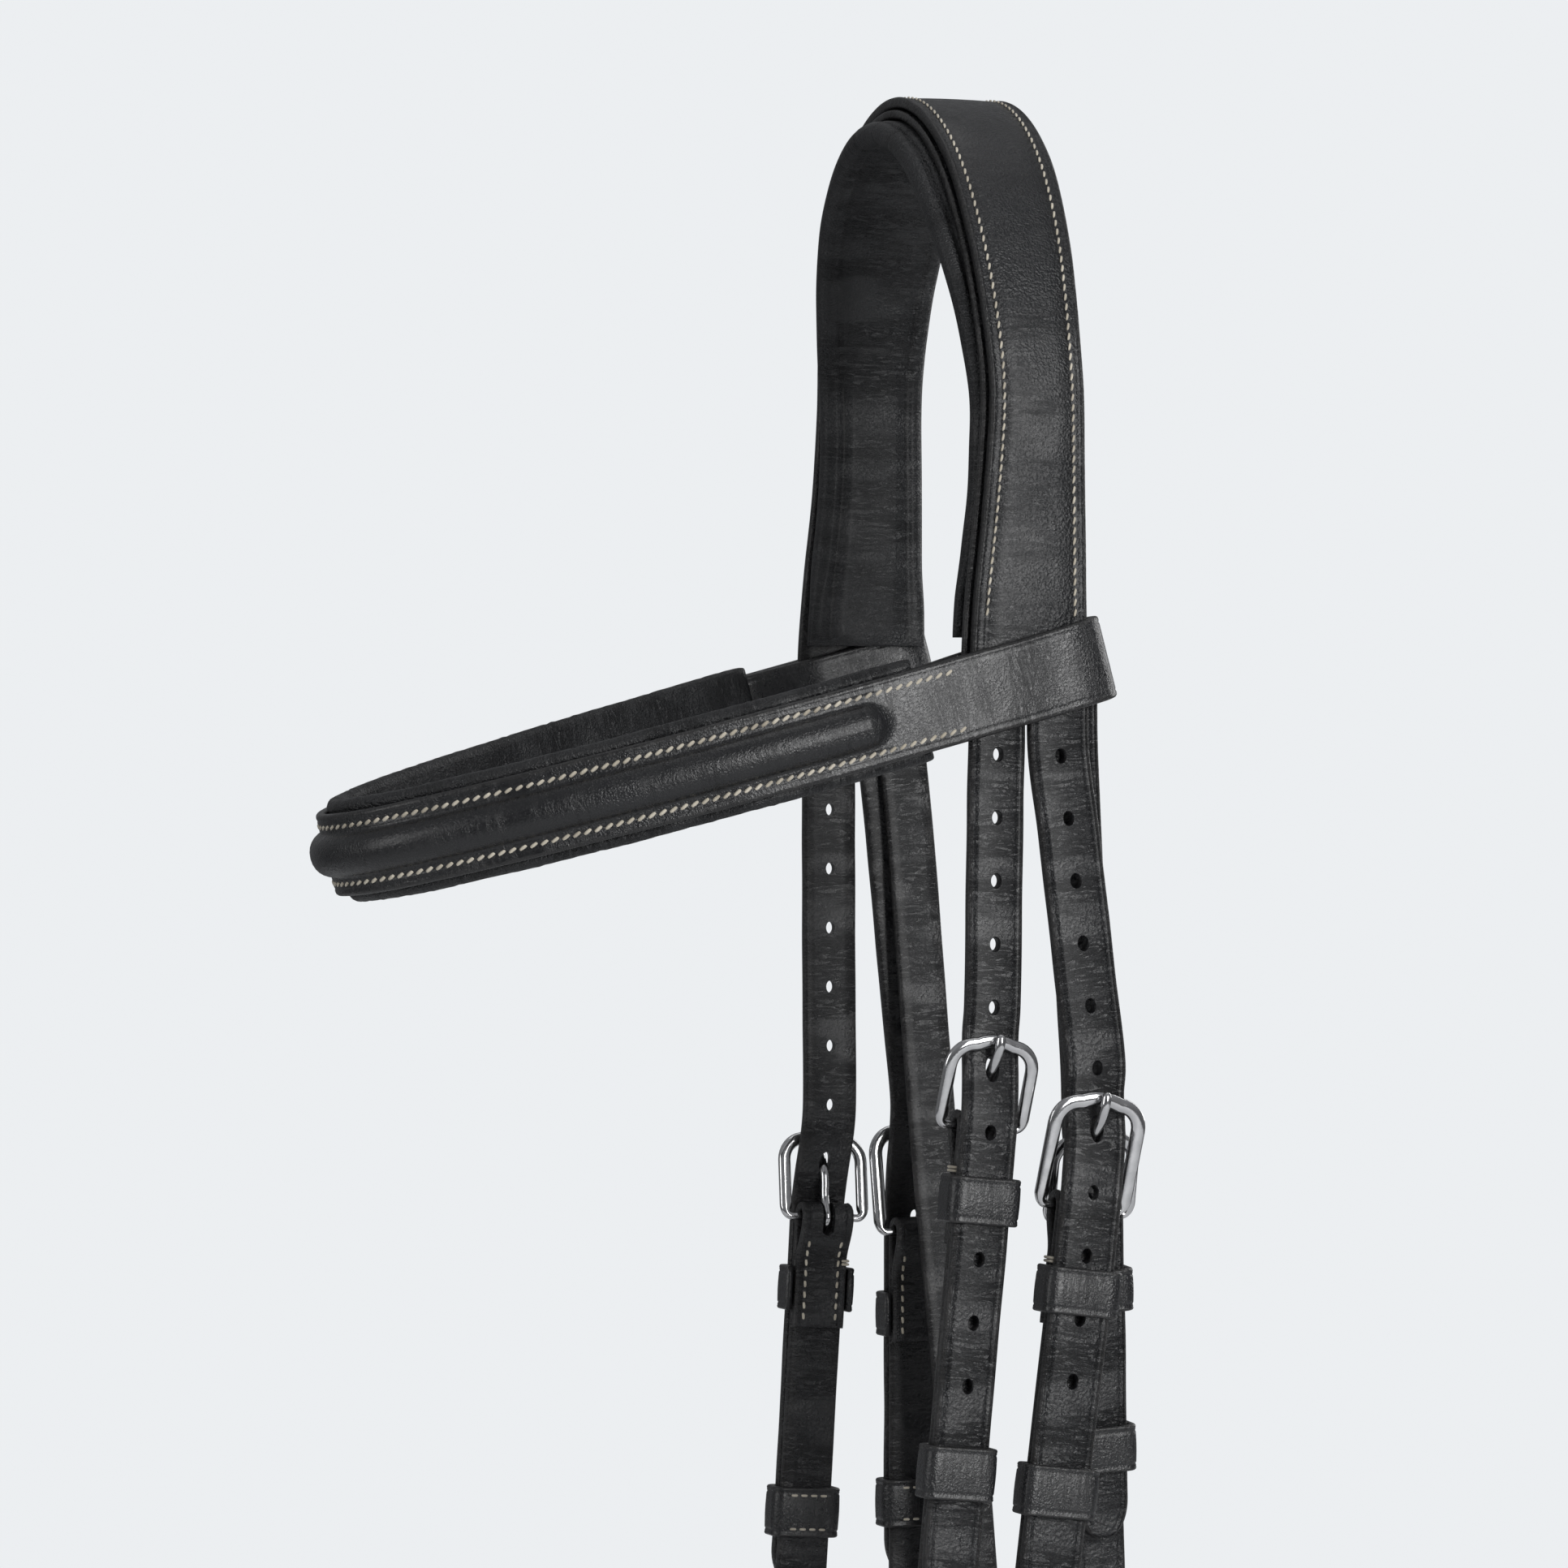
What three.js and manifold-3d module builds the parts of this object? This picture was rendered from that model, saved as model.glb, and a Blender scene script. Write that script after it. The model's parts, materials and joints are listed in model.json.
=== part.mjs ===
// A snaffle bridle, hanging from its headpiece as on a bridle hook. Millimetres.
// -X is the horse's forward, -Y its near (left) side, +Z up. The origin is the
// middle of the headpiece pad's underside, where the bridle rests on the poll.
import * as THREE from 'three';
import { mergeVertices } from 'three/addons/utils/BufferGeometryUtils.js';
import Module from 'manifold-3d';

const wasm = await Module();
wasm.setup();

// Driving dimensions
const padThickness = 7;
const throatThickness = 2.4;
const headThickness = 3;
const gap = 0.4;                       // air between pieces that lie on each other
const archHalfWidth = 63.3;            // outer face of the headpiece, crown arch
const archHeight = 90.3;
const padEndDrop = 150;
const loopDrop = 153;                  // middle of the browband loops below the crown
const loopHeight = 22;
const browTilt = THREE.MathUtils.degToRad(15.2);
const flexDrop = 169;                  // where the hanging straps flex, under the loops
const flexGap = 1;
const splitDrop = 158;                 // where the slit between the two points starts
const noseDrop = 418;
const noseTilt = THREE.MathUtils.degToRad(8);
const bandThickness = 2.6;
const strapThickness = 2.2;            // cheekpieces, hangers and the throat loop
const pointThickness = 2.8;
const holePitch = 16;
const holeRadius = 1.6;
const tongueSlot = 13;                 // the used hole is drawn long by its tongue
const tongueHoleWidth = 3.4;
const drillLength = 12;
const holeFromStart = 3.5;             // no hole is punched nearer to a point's start
const holeFromTip = 8;                 // or to its tip
const searchStep = 1 / 2000;           // share of a curve's length
const barHalf = 1.1;                   // square heel bar of every buckle
const foldInner = 1.9;                 // leather folded round the heel bar
const foldOuter = foldInner + strapThickness;
const pointRise = foldOuter + gap + pointThickness / 2;
const tongueRadius = 1.1;
const keeperLeather = 1.8;

const crownTop = padThickness + throatThickness + headThickness + 2 * gap;
const headMid = archHalfWidth - headThickness / 2;
const throatDepth = headThickness + gap;
const padDepth = throatDepth + throatThickness + gap;
const barPlane = headMid - 0.8;        // distance of a heel bar from the middle plane

const down = (drop) => crownTop - drop;
const degrees = THREE.MathUtils.degToRad;
const X = new THREE.Vector3(1, 0, 0);
const Z = new THREE.Vector3(0, 0, 1);

// Materials
const leatherFinish = { color: 0x17181a, roughness: 0.46, metalness: 0 };
const liningFinish = { color: 0x1b1c1f, roughness: 0.6, metalness: 0 };
const steelFinish = { color: 0xc9cbce, roughness: 0.16, metalness: 1 };

const leather = () => new THREE.MeshStandardMaterial(leatherFinish);
const lining = () => new THREE.MeshStandardMaterial(liningFinish);
const steel = () => new THREE.MeshStandardMaterial(steelFinish);

// Solids
function solid(geometry) {
  const bare = geometry.clone();
  bare.deleteAttribute('normal');
  bare.deleteAttribute('uv');
  const merged = mergeVertices(bare, 1e-4);
  return new wasm.Manifold(new wasm.Mesh({
    numProp: 3,
    vertProperties: new Float32Array(merged.attributes.position.array),
    triVerts: new Uint32Array(merged.index.array),
  }));
}

function geometryOf(manifold) {
  const mesh = manifold.getMesh();
  const geometry = new THREE.BufferGeometry();
  geometry.setAttribute('position', new THREE.BufferAttribute(mesh.vertProperties, 3));
  geometry.setIndex(new THREE.BufferAttribute(mesh.triVerts, 1));
  geometry.computeVertexNormals();
  return geometry;
}

function cut(geometry, tools) {
  let body = solid(geometry);
  for (const tool of tools) body = body.subtract(solid(tool));
  return geometryOf(body);
}

function join(geometries) {
  let body = solid(geometries[0]);
  for (const geometry of geometries.slice(1)) body = body.add(solid(geometry));
  return geometryOf(body);
}

function named(name, geometry, material) {
  const mesh = new THREE.Mesh(geometry, material);
  mesh.name = name;
  return mesh;
}

// Value read off a short list of [position, value] pairs, straight between them
function profile(pairs, position) {
  let last = pairs[0];
  for (const pair of pairs) {
    if (position <= pair[0]) {
      const span = pair[0] - last[0];
      const part = span > 0 ? (position - last[0]) / span : 0;
      return last[1] + (pair[1] - last[1]) * Math.min(Math.max(part, 0), 1);
    }
    last = pair;
  }
  return last[1];
}

// A flat strap through a row of stations. Each station has its place, its direction
// along the strap, and the distance of its two edges from the middle line. The outer
// face may be raised by crown(across, station) to make a roll.
function strap(stations, thickness, hint, options = {}) {
  const { columns = 1, lift = 0, crown = null } = options;
  const rows = stations.length - 1;
  const box = new THREE.BoxGeometry(1, 1, 1, columns, 1, rows);
  const place = box.attributes.position;
  for (let i = 0; i < place.count; i += 1) {
    const row = Math.round((place.getZ(i) + 0.5) * rows);
    const station = stations[row];
    const out = new THREE.Vector3().crossVectors(station.along, hint).normalize();
    const across = new THREE.Vector3().crossVectors(out, station.along).normalize();
    const side = THREE.MathUtils.lerp(station.edges[0], station.edges[1], place.getX(i) + 0.5);
    let height = lift + place.getY(i) * thickness;
    if (crown && place.getY(i) > 0) height += crown(side, row);
    const point = station.at.clone().addScaledVector(across, side).addScaledVector(out, height);
    place.setXYZ(i, point.x, point.y, point.z);
  }
  return box;
}

function stationsAlong(points, count, edgesAt) {
  const curve = new THREE.CatmullRomCurve3(points, false, 'centripetal');
  curve.arcLengthDivisions = 600;
  const length = curve.getLength();
  const stations = [];
  for (let i = 0; i <= count; i += 1) {
    const at = curve.getPointAt(i / count);
    stations.push({ at, along: curve.getTangentAt(i / count), edges: edgesAt(length * i / count, length, at) });
  }
  return stations;
}

function evenEdges(width) {
  return () => [-width / 2, width / 2];
}

// The end of a point: its edges round in over the last stretch
function tipEdges(width, tipLength) {
  return (run, length) => {
    const left = Math.max(length - run, 0);
    const part = Math.min(left / tipLength, 1);
    const half = width / 2 * (0.24 + 0.76 * Math.sqrt(1 - (1 - part) ** 2));
    return [-half, half];
  };
}

function boxAt(sizeX, sizeY, sizeZ, x, y, z) {
  return new THREE.BoxGeometry(sizeX, sizeY, sizeZ).translate(x, y, z);
}

// Headpiece: layers that follow the crown arch and hang down its legs
function crownStations(depth, endDrop, archSteps, legSteps, edgesAtDrop) {
  const stations = [];
  const add = (y, z, along, drop) => {
    stations.push({ at: new THREE.Vector3(0, y, z), along, edges: edgesAtDrop(drop) });
  };
  const legSpan = endDrop - archHeight;
  for (let i = 0; i < legSteps; i += 1) {
    const drop = endDrop - legSpan * i / legSteps;
    add(archHalfWidth - depth, down(drop), Z.clone(), drop);
  }
  for (let i = 0; i <= archSteps; i += 1) {
    const turn = Math.PI * i / archSteps;
    const outward = new THREE.Vector2(Math.cos(turn) / archHalfWidth, Math.sin(turn) / archHeight).normalize();
    const y = archHalfWidth * Math.cos(turn) - outward.x * depth;
    const z = down(archHeight) + archHeight * Math.sin(turn) - outward.y * depth;
    const drop = archHeight * (1 - Math.sin(turn));
    add(y, z, new THREE.Vector3(0, -outward.y, outward.x), drop);
  }
  for (let i = 1; i <= legSteps; i += 1) {
    const drop = archHeight + legSpan * i / legSteps;
    add(depth - archHalfWidth, down(drop), Z.clone().negate(), drop);
  }
  return stations;
}

const strapFront = [[0, -13.3], [34, -12.5], [80, -10.1], [105, -11.9], [138, -15.6], [flexDrop, -16.4]];
const strapRear = [[0, 16.8], [60, 14.8], [flexDrop, 16]];
const padFront = [[0, -21.9], [34, -18.8], [80, -12.2], [105, -13.2], [138, -17], [padEndDrop, -17]];
const padRear = [[0, 18.5], [60, 16.3], [padEndDrop, 16.8]];
const throatMiddle = 13;                // where the throat strap leaves the loops
const throatWidth = 14;

function headpieceStrap() {
  const edges = (drop) => [profile(strapFront, drop), profile(strapRear, drop)];
  const stations = crownStations(headThickness / 2, flexDrop - flexGap, 28, 5, edges);
  const slits = [1, -1].map((side) => boxAt(1.1, 12, 40, -0.75, side * headMid, down(splitDrop) - 20));
  return named('headpiece_strap', cut(strap(stations, headThickness, X), slits), leather());
}

function headpiecePad() {
  const edges = (drop) => [profile(padFront, drop), profile(padRear, drop)];
  const stations = crownStations(padDepth + padThickness / 2, padEndDrop, 28, 4, edges);
  const pad = strap(stations, padThickness, X, { columns: 4 });
  const belowLoops = new THREE.BoxGeometry(90, 200, 40);
  belowLoops.translate(0, 0, loopHeight / 2 + gap - 20 + 0.6);
  belowLoops.rotateY(-browTilt);
  belowLoops.translate(0, 0, down(loopDrop));
  return named('headpiece_pad', cut(pad, [belowLoops]), lining());
}

function throatStrapCrown() {
    const edges = (drop) => {
    const shift = profile([[0, -10.3], [90, -6.3], [137, -4], [158, -0.4], [flexDrop, 0]], drop);
    return [throatMiddle - throatWidth / 2 + shift, throatMiddle + throatWidth / 2 + shift];
  };
  const stations = crownStations(throatDepth + throatThickness / 2, flexDrop - 2 * flexGap, 28, 7, edges);
  return named('throat_strap_crown', strap(stations, throatThickness, X), leather());
}

// Browband: a tilted U whose ends fold round the headpiece as loops
const browStart = -17;                 // where the band leaves its loops
const browReach = 153.5;                // how far it stands out in front of them
const browHalfWidth = 65;
const browOutline = halfEllipse(browStart, browReach, browHalfWidth, 7);
const rollHalf = 5;
const rollHeight = 4;
const bandHeight = 21;

// One side of a half ellipse in plan, from its open end at x to its front
function halfEllipse(x, reach, halfWidth, steps) {
  const outline = [];
  for (let i = 0; i <= steps; i += 1) {
    const turn = Math.PI / 2 * i / steps;
    outline.push([x - reach * Math.sin(turn), halfWidth * Math.cos(turn)]);
  }
  return outline;
}

function mirroredPath(outline) {
  const far = outline.map(([x, y]) => new THREE.Vector3(x, y, 0));
  const near = outline.slice(0, -1).reverse().map(([x, y]) => new THREE.Vector3(x, -y, 0));
  return far.concat(near);
}

function rollOver(count, bareEnds) {
  return (side, row) => {
    const fromEnd = Math.min(row, count - row);
    const rise = THREE.MathUtils.smoothstep(fromEnd, bareEnds, bareEnds + 2);
    const part = Math.min(Math.abs(side) / rollHalf, 1);
    return rise * rollHeight * Math.sqrt(Math.max(1 - part * part, 0));
  };
}

function browLoop(sign) {
  const rear = 23;
  const front = -25;
  const outer = archHalfWidth + gap + bandThickness;
  const inner = archHalfWidth - throatDepth - throatThickness - gap - bandThickness;
  const outline = roundedRectangle(front, rear, inner, outer, 3);
  const wall = bandThickness;
  outline.holes.push(roundedRectangle(front + wall, rear - wall, inner + wall, outer - wall, 1));
  const ring = new THREE.ExtrudeGeometry(outline, { depth: loopHeight, bevelEnabled: false, curveSegments: 3 });
  ring.translate(0, 0, -loopHeight / 2);
  if (sign < 0) ring.rotateX(Math.PI);
  return ring;
}

function roundedRectangle(left, right, bottom, top, radius) {
  const shape = new THREE.Shape();
  shape.moveTo(left + radius, bottom);
  shape.lineTo(right - radius, bottom);
  shape.quadraticCurveTo(right, bottom, right, bottom + radius);
  shape.lineTo(right, top - radius);
  shape.quadraticCurveTo(right, top, right - radius, top);
  shape.lineTo(left + radius, top);
  shape.quadraticCurveTo(left, top, left, top - radius);
  shape.lineTo(left, bottom + radius);
  shape.quadraticCurveTo(left, bottom, left + radius, bottom);
  return shape;
}

function browband() {
  const count = 28;
  const edges = evenEdges(bandHeight);
  const stations = stationsAlong(mirroredPath(browOutline), count, edges);
  const band = strap(stations, bandThickness, Z, { columns: 6, crown: rollOver(count, 2) });
  return named('browband_strap', join([band, browLoop(1), browLoop(-1)]), leather());
}

function browbandPad() {
  const thickness = 5;
  const height = 28;
  const inward = bandThickness / 2 + gap + thickness / 2;
  const stations = stationsAlong(mirroredPath(browOutline), 28, evenEdges(height)).slice(2, -2);
  return named('browband_pad', strap(stations, thickness, Z, { columns: 2, lift: -inward }), lining());
}

// Buckles. Their own frame: X across the strap, Z up along it from the middle of the
// heel bar, -Y out from the horse.
const smallBuckle = { half: 9.4, rise: 22, rim: 3.3, tongueHole: 14.8 };
const largeBuckle = { half: 9.6, rise: 28, rim: 3.6, tongueHole: 20 };
const frameTipOut = 5.6;               // how far the top of a frame stands out

function buckleFrame(size) {
  const outerHalf = size.half + size.rim;
  const tilt = Math.atan2(frameTipOut, size.rise);
  const slant = Math.hypot(size.rise, frameTipOut);
  const outline = archedOutline(outerHalf, -barHalf, slant + size.rim / 2, 7.5);
  outline.holes.push(archedOutline(size.half, barHalf, slant - size.rim / 2, 4.5));
  const plate = new THREE.ExtrudeGeometry(outline, { depth: 2 * barHalf, bevelEnabled: false, curveSegments: 6 });
  plate.translate(0, 0, -barHalf);
  plate.rotateX(Math.PI / 2);
  plate.rotateX(tilt);
  return plate;
}

function archedOutline(half, bottom, top, radius) {
  const shape = new THREE.Shape();
  const shoulder = top - radius;
  shape.moveTo(-half, bottom);
  shape.lineTo(half, bottom);
  shape.lineTo(half, shoulder);
  shape.quadraticCurveTo(half, top - 1, half - radius, top - 0.6);
  shape.quadraticCurveTo(0, top + 0.6, radius - half, top - 0.6);
  shape.quadraticCurveTo(-half, top - 1, -half, shoulder);
  shape.lineTo(-half, bottom);
  return shape;
}

// Side view of the tongue as [out, up]: a coil round the heel bar, then through the hole
function tongueLine(size) {
  const coil = 3.1;
  const points = [];
  for (const turn of [-70, -115, -160, -205, -250]) {
    points.push([coil * Math.cos(degrees(turn)), coil * Math.sin(degrees(turn))]);
  }
  const hole = size.tongueHole;
  const rest = frameTipOut + barHalf + tongueRadius + 0.85;
  points.push([0.9, 6], [1.1, hole - 7], [2.3, hole - 3.4], [4.1, hole]);
  points.push([rest - 1.2, size.rise - 4.4], [rest, size.rise]);
  points.push([rest + 0.2, size.rise + 2.4]);
  return points;
}

function buckleTongue(size) {
  const points = tongueLine(size).map(([out, up]) => new THREE.Vector3(0, -out, up));
  const path = new THREE.CatmullRomCurve3(points, false, 'centripetal');
  const section = new THREE.Shape();
  section.absarc(0, 0, tongueRadius, 0, 2 * Math.PI);
  const options = { steps: 20, bevelEnabled: false, curveSegments: 4, extrudePath: path };
  return new THREE.ExtrudeGeometry(section, options);
}

const loopSkive = 0.25;                // the leather is thinned where it turns round the bit
const skiveUp = 16.5;                  // height of that thinning above the foot

// A strap folded round a heel bar, drawn from the side and drawn out to its width.
// bitLoop adds a second fold at the foot, open for a bit ring.
function foldedStrap(length, width, turnEnd, bitLoop) {
  const side = new THREE.Shape();
  const back = foldInner - strapThickness;
  side.moveTo(foldOuter, 0);
  side.absarc(0, 0, foldOuter, 0, degrees(205), false);
  side.lineTo(back, -11);
  side.lineTo(back, turnEnd + 3);
  side.lineTo(foldInner, turnEnd);
  if (bitLoop) {
    const loopInner = 5;
    const loopOuter = loopInner + strapThickness - loopSkive;
    const middle = foldOuter - loopInner - strapThickness;
    side.lineTo(foldInner, 44 - length);
    side.lineTo(back, 41 - length);
    side.lineTo(back, 14 - length);
    side.lineTo(middle + loopOuter * Math.cos(degrees(150)), loopOuter * Math.sin(degrees(150)) - length);
    side.absarc(middle, -length, loopOuter, degrees(150), degrees(360), false);
    const ring = new THREE.Path();
    ring.absarc(middle, -length, loopInner, 0, 2 * Math.PI, true);
    side.holes.push(ring);
    side.lineTo(foldOuter - loopSkive, skiveUp - length);
    side.lineTo(foldOuter, skiveUp + 1 - length);
  } else {
    side.lineTo(foldInner, -length);
    side.lineTo(foldOuter, -length);
  }
  const eye = new THREE.Path();
  eye.absarc(0, 0, foldInner, 0, 2 * Math.PI, true);
  side.holes.push(eye);
  const body = new THREE.ExtrudeGeometry(side, { depth: width, bevelEnabled: false, curveSegments: 7 });
  body.translate(0, 0, -width / 2);
  body.rotateX(Math.PI / 2);
  body.rotateZ(-Math.PI / 2);
  const slot = boxAt(3.8, 12, 10.4, 0, 0, 0.4);
  return { body, slot };
}

function keeperShape(width, isRing) {
  const half = width / 2 + gap;
  const outer = half + keeperLeather;
  const inside = pointRise + pointThickness / 2 + gap;
  const outside = inside + keeperLeather;
  const shape = new THREE.Shape();
  const backOuter = isRing ? foldInner - gap - keeperLeather : 0.3;
  shape.moveTo(-outer, backOuter);
  if (isRing) {
    shape.lineTo(outer, backOuter);
  } else {
    shape.lineTo(-half, backOuter);
    shape.lineTo(-half, inside);
    shape.lineTo(half, inside);
    shape.lineTo(half, backOuter);
    shape.lineTo(outer, backOuter);
  }
  shape.lineTo(outer, outside - 1.2);
  shape.quadraticCurveTo(outer, outside, outer - 1.2, outside);
  shape.lineTo(1.2 - outer, outside);
  shape.quadraticCurveTo(-outer, outside, -outer, outside - 1.2);
  if (isRing) {
    const inner = new THREE.Path();
    inner.moveTo(-half, foldInner - gap);
    inner.lineTo(-half, inside);
    inner.lineTo(half, inside);
    inner.lineTo(half, foldInner - gap);
    shape.holes.push(inner);
  }
  return shape;
}

function keeper(width, height, below, isRing) {
  const body = new THREE.ExtrudeGeometry(keeperShape(width, isRing),
    { depth: height, bevelEnabled: false, curveSegments: 3 });
  body.translate(0, 0, -below - height / 2);
  body.rotateZ(Math.PI);
  return body;
}

// Height of a point's middle above the bar plane, by distance above the heel bar
function pointOut(size) {
  const clear = frameTipOut - barHalf - gap - pointThickness / 2 - 1.3;
  return [
    [-200, pointRise], [0, pointRise], [4, pointRise - 0.1], [size.tongueHole - 1, 3.6],
    [size.rise, clear - 0.1], [size.rise + 18, 0.8], [400, 0.8],
  ];
}

// The point of a strap, in its buckle's frame: from its start down to the heel bar in
// line with the buckle, over the folded strap, and on to the tip
function strapPoint(unit, start) {
  const size = unit.buckle;
  const out = pointOut(size);
  const points = [start];
  const slack = unit.slack ?? 0;
  const shoulder = new THREE.Vector3(slack, -profile(out, size.rise + 8), size.rise + 8);
  for (const part of [0.25, 0.5, 0.75]) points.push(start.clone().lerp(shoulder, part));
  const shifts = [[0, 0], [size.tongueHole, 0], [size.rise + 4, slack], [size.rise + 8, slack]];
  for (const up of [size.rise + 8, size.rise + 2, size.rise - 4, size.tongueHole - 1, 8, 2, -6, -25]) {
    points.push(new THREE.Vector3(profile(shifts, up), -profile(out, up), up));
  }
  points.push(new THREE.Vector3(0, -pointRise, -unit.tip / 2 - 12));
  points.push(new THREE.Vector3(0, -pointRise, -unit.tip));
  const curve = new THREE.CatmullRomCurve3(points, false, 'centripetal');
  curve.arcLengthDivisions = 600;
  const length = curve.getLength();
  const stations = stationsAlong(points, Math.round(length / 5.5), tipEdges(unit.width, 9));
  const body = strap(stations, pointThickness, X);
  return cut(body, pointHoles(unit, curve, length));
}

function pointHoles(unit, curve, length) {
  const size = unit.buckle;
  const tools = [];
  const tongueAt = runWhereUp(curve, size.tongueHole);
  for (let k = 1; k <= unit.holes; k += 1) {
    const run = tongueAt + (k - unit.tongueIn) * holePitch;
    if (run < holeFromStart || run > length - holeFromTip) continue;
    const at = curve.getPointAt(run / length);
    const along = curve.getTangentAt(run / length);
    const isTongues = k === unit.tongueIn;
    const drill = isTongues
      ? new THREE.BoxGeometry(tongueHoleWidth, drillLength, tongueSlot)
      : new THREE.CylinderGeometry(holeRadius, holeRadius, drillLength, 8);
    drill.applyQuaternion(new THREE.Quaternion().setFromUnitVectors(Z.clone().negate(), along));
    drill.translate(at.x, at.y, at.z);
    tools.push(drill);
  }
  return tools;
}

// Where a point, followed back from its tip, first rises to a height above the heel bar
function runWhereUp(curve, up) {
  let part = 1;
  while (part > 0 && curve.getPointAt(part).z < up) part -= searchStep;
  return curve.getLength() * Math.max(part, 0);
}

// A buckle with its tongue, the folded strap it is sewn into, a fixed keeper, a runner
// and the point that is buckled through it
function buckleUnit(prefix, unit, start, names) {
  const group = new THREE.Group();
  const folded = foldedStrap(unit.length, unit.width - 0.4, unit.turnEnd ?? -30, unit.bitLoop);
  const cuts = [folded.slot];
  if (unit.bitLoop) cuts.push(studHole(unit));
  group.add(named(names.strap, cut(folded.body, cuts), leather()));
  group.add(named(`${prefix}_buckle`, buckleFrame(unit.buckle), steel()));
  group.add(named(`${prefix}_tongue`, buckleTongue(unit.buckle), steel()));
  group.add(named(`${prefix}_keeper`, keeper(unit.width, unit.keeperHeight, unit.keeper, false), leather()));
  group.add(named(`${prefix}_runner`, keeper(unit.width, unit.runnerHeight, unit.runner, true), leather()));
  if (start) group.add(named(names.point, strapPoint(unit, start), leather()));
  if (unit.bitLoop) {
    group.add(named(`${prefix}_stud`, hookStud(unit), steel()));
    group.add(named(`${prefix}_bit_keeper`, bitKeeper(unit), leather()));
  }
  return group;
}

// Where the foot of a cheekpiece is hooked shut
const studUp = 36;

function studHole(unit) {
  const drill = new THREE.CylinderGeometry(1.8, 1.8, 12, 10);
  drill.translate(0, -1.5, studUp - unit.length);
  return drill;
}

function hookStud(unit) {
  const line = [[0, -3.6], [1.4, -3.6], [1.4, 0.7], [3.2, 0.9], [2.6, 2.2], [0, 2.6]];
  const body = new THREE.LatheGeometry(line.map(([r, y]) => new THREE.Vector2(r, y)), 12);
  body.translate(0, 0, studUp - unit.length);
  return body;
}

function bitKeeper(unit) {
  const half = unit.width / 2 + gap;
  const back = foldInner - strapThickness - gap;
  const front = foldOuter + gap;
  const wall = keeperLeather;
  const outline = roundedRectangle(-half - wall, half + wall, back - wall, front + wall, 1.2);
  outline.holes.push(roundedRectangle(-half, half, back, front, 0.3));
  const body = new THREE.ExtrudeGeometry(outline, { depth: 9, bevelEnabled: false, curveSegments: 3 });
  body.rotateX(Math.PI);
  body.translate(0, 0, 28 - unit.length);
  return body;
}

// Frame of a unit: middle of its heel bar, the way up along its strap, and outward
function unitFrame(origin, up, outward) {
  const upward = up.clone().normalize();
  const across = new THREE.Vector3().crossVectors(upward, outward).normalize();
  const inward = new THREE.Vector3().crossVectors(upward, across).normalize();
  const matrix = new THREE.Matrix4().makeBasis(across, inward, upward).setPosition(origin);
  return { matrix, inverse: matrix.clone().invert() };
}

function placeUnit(group, frame) {
  frame.matrix.decompose(group.position, group.quaternion, group.scale);
  return group;
}

const outNear = new THREE.Vector3(0, -1, 0);

// Straps of one side, drawn for the near side: front point and cheekpiece, rear point
// and noseband hanger
const front = { width: 15, buckle: smallBuckle, bitLoop: true, holes: 11, keeperHeight: 12, runnerHeight: 13.5 };
const rear = { width: 16.4, buckle: largeBuckle, bitLoop: false, holes: 11, keeperHeight: 12, runnerHeight: 13 };

const nearFront = {
  ...front, x: -13, drop: 266.5, lean: 5.5, length: 222, tip: 119, tongueIn: 6, keeper: 18.3, runner: 87,
  startX: -8.8,
};
const nearRear = {
  ...rear, x: 14.7, drop: 287.5, lean: 7, length: 147, tip: 98, tongueIn: 7, keeper: 21.1, runner: 71.8,
  startX: 8, slack: -0.8,
};
const farFront = {
  ...front, x: -8.6, drop: 297, lean: 3.4, length: 191, tip: 100, tongueIn: 8, keeper: 19.5, runner: 80,
  startX: -7.2,
};
const farRear = {
  ...rear, x: 19.4, drop: 301.5, lean: 0, length: 133, tip: 94, tongueIn: 8, keeper: 22.5, runner: 74,
  startX: 9.6,
};

function sideStraps(side, frontUnit, rearUnit) {
  const group = new THREE.Group();
  const sets = [
    { unit: frontUnit, prefix: `${side}_cheek`,
      names: { strap: `${side}_cheekpiece`, point: `${side}_front_point` } },
    { unit: rearUnit, prefix: `${side}_nose`,
      names: { strap: `${side}_nose_hanger`, point: `${side}_rear_point` } },
  ];
  for (const { unit, prefix, names } of sets) {
    const lean = degrees(unit.lean);
    const origin = new THREE.Vector3(unit.x, -barPlane, down(unit.drop));
    const frame = unitFrame(origin, new THREE.Vector3(Math.sin(lean), 0, Math.cos(lean)), outNear);
    const start = new THREE.Vector3(unit.startX, -headMid, down(flexDrop)).applyMatrix4(frame.inverse);
    group.add(placeUnit(buckleUnit(prefix, unit, start, names), frame));
  }
  return group;
}

// Throat loop: buckled on the near side, hanging as a U inside the noseband
const throat = {
  width: throatWidth, buckle: smallBuckle, holes: 9, keeperHeight: 11, runnerHeight: 12,
  x: 22.5, y: -47.4, drop: 291, length: 34, tip: 82, tongueIn: 7, keeper: 18, runner: 59,
};
const throatBottomDrop = 505;

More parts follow.
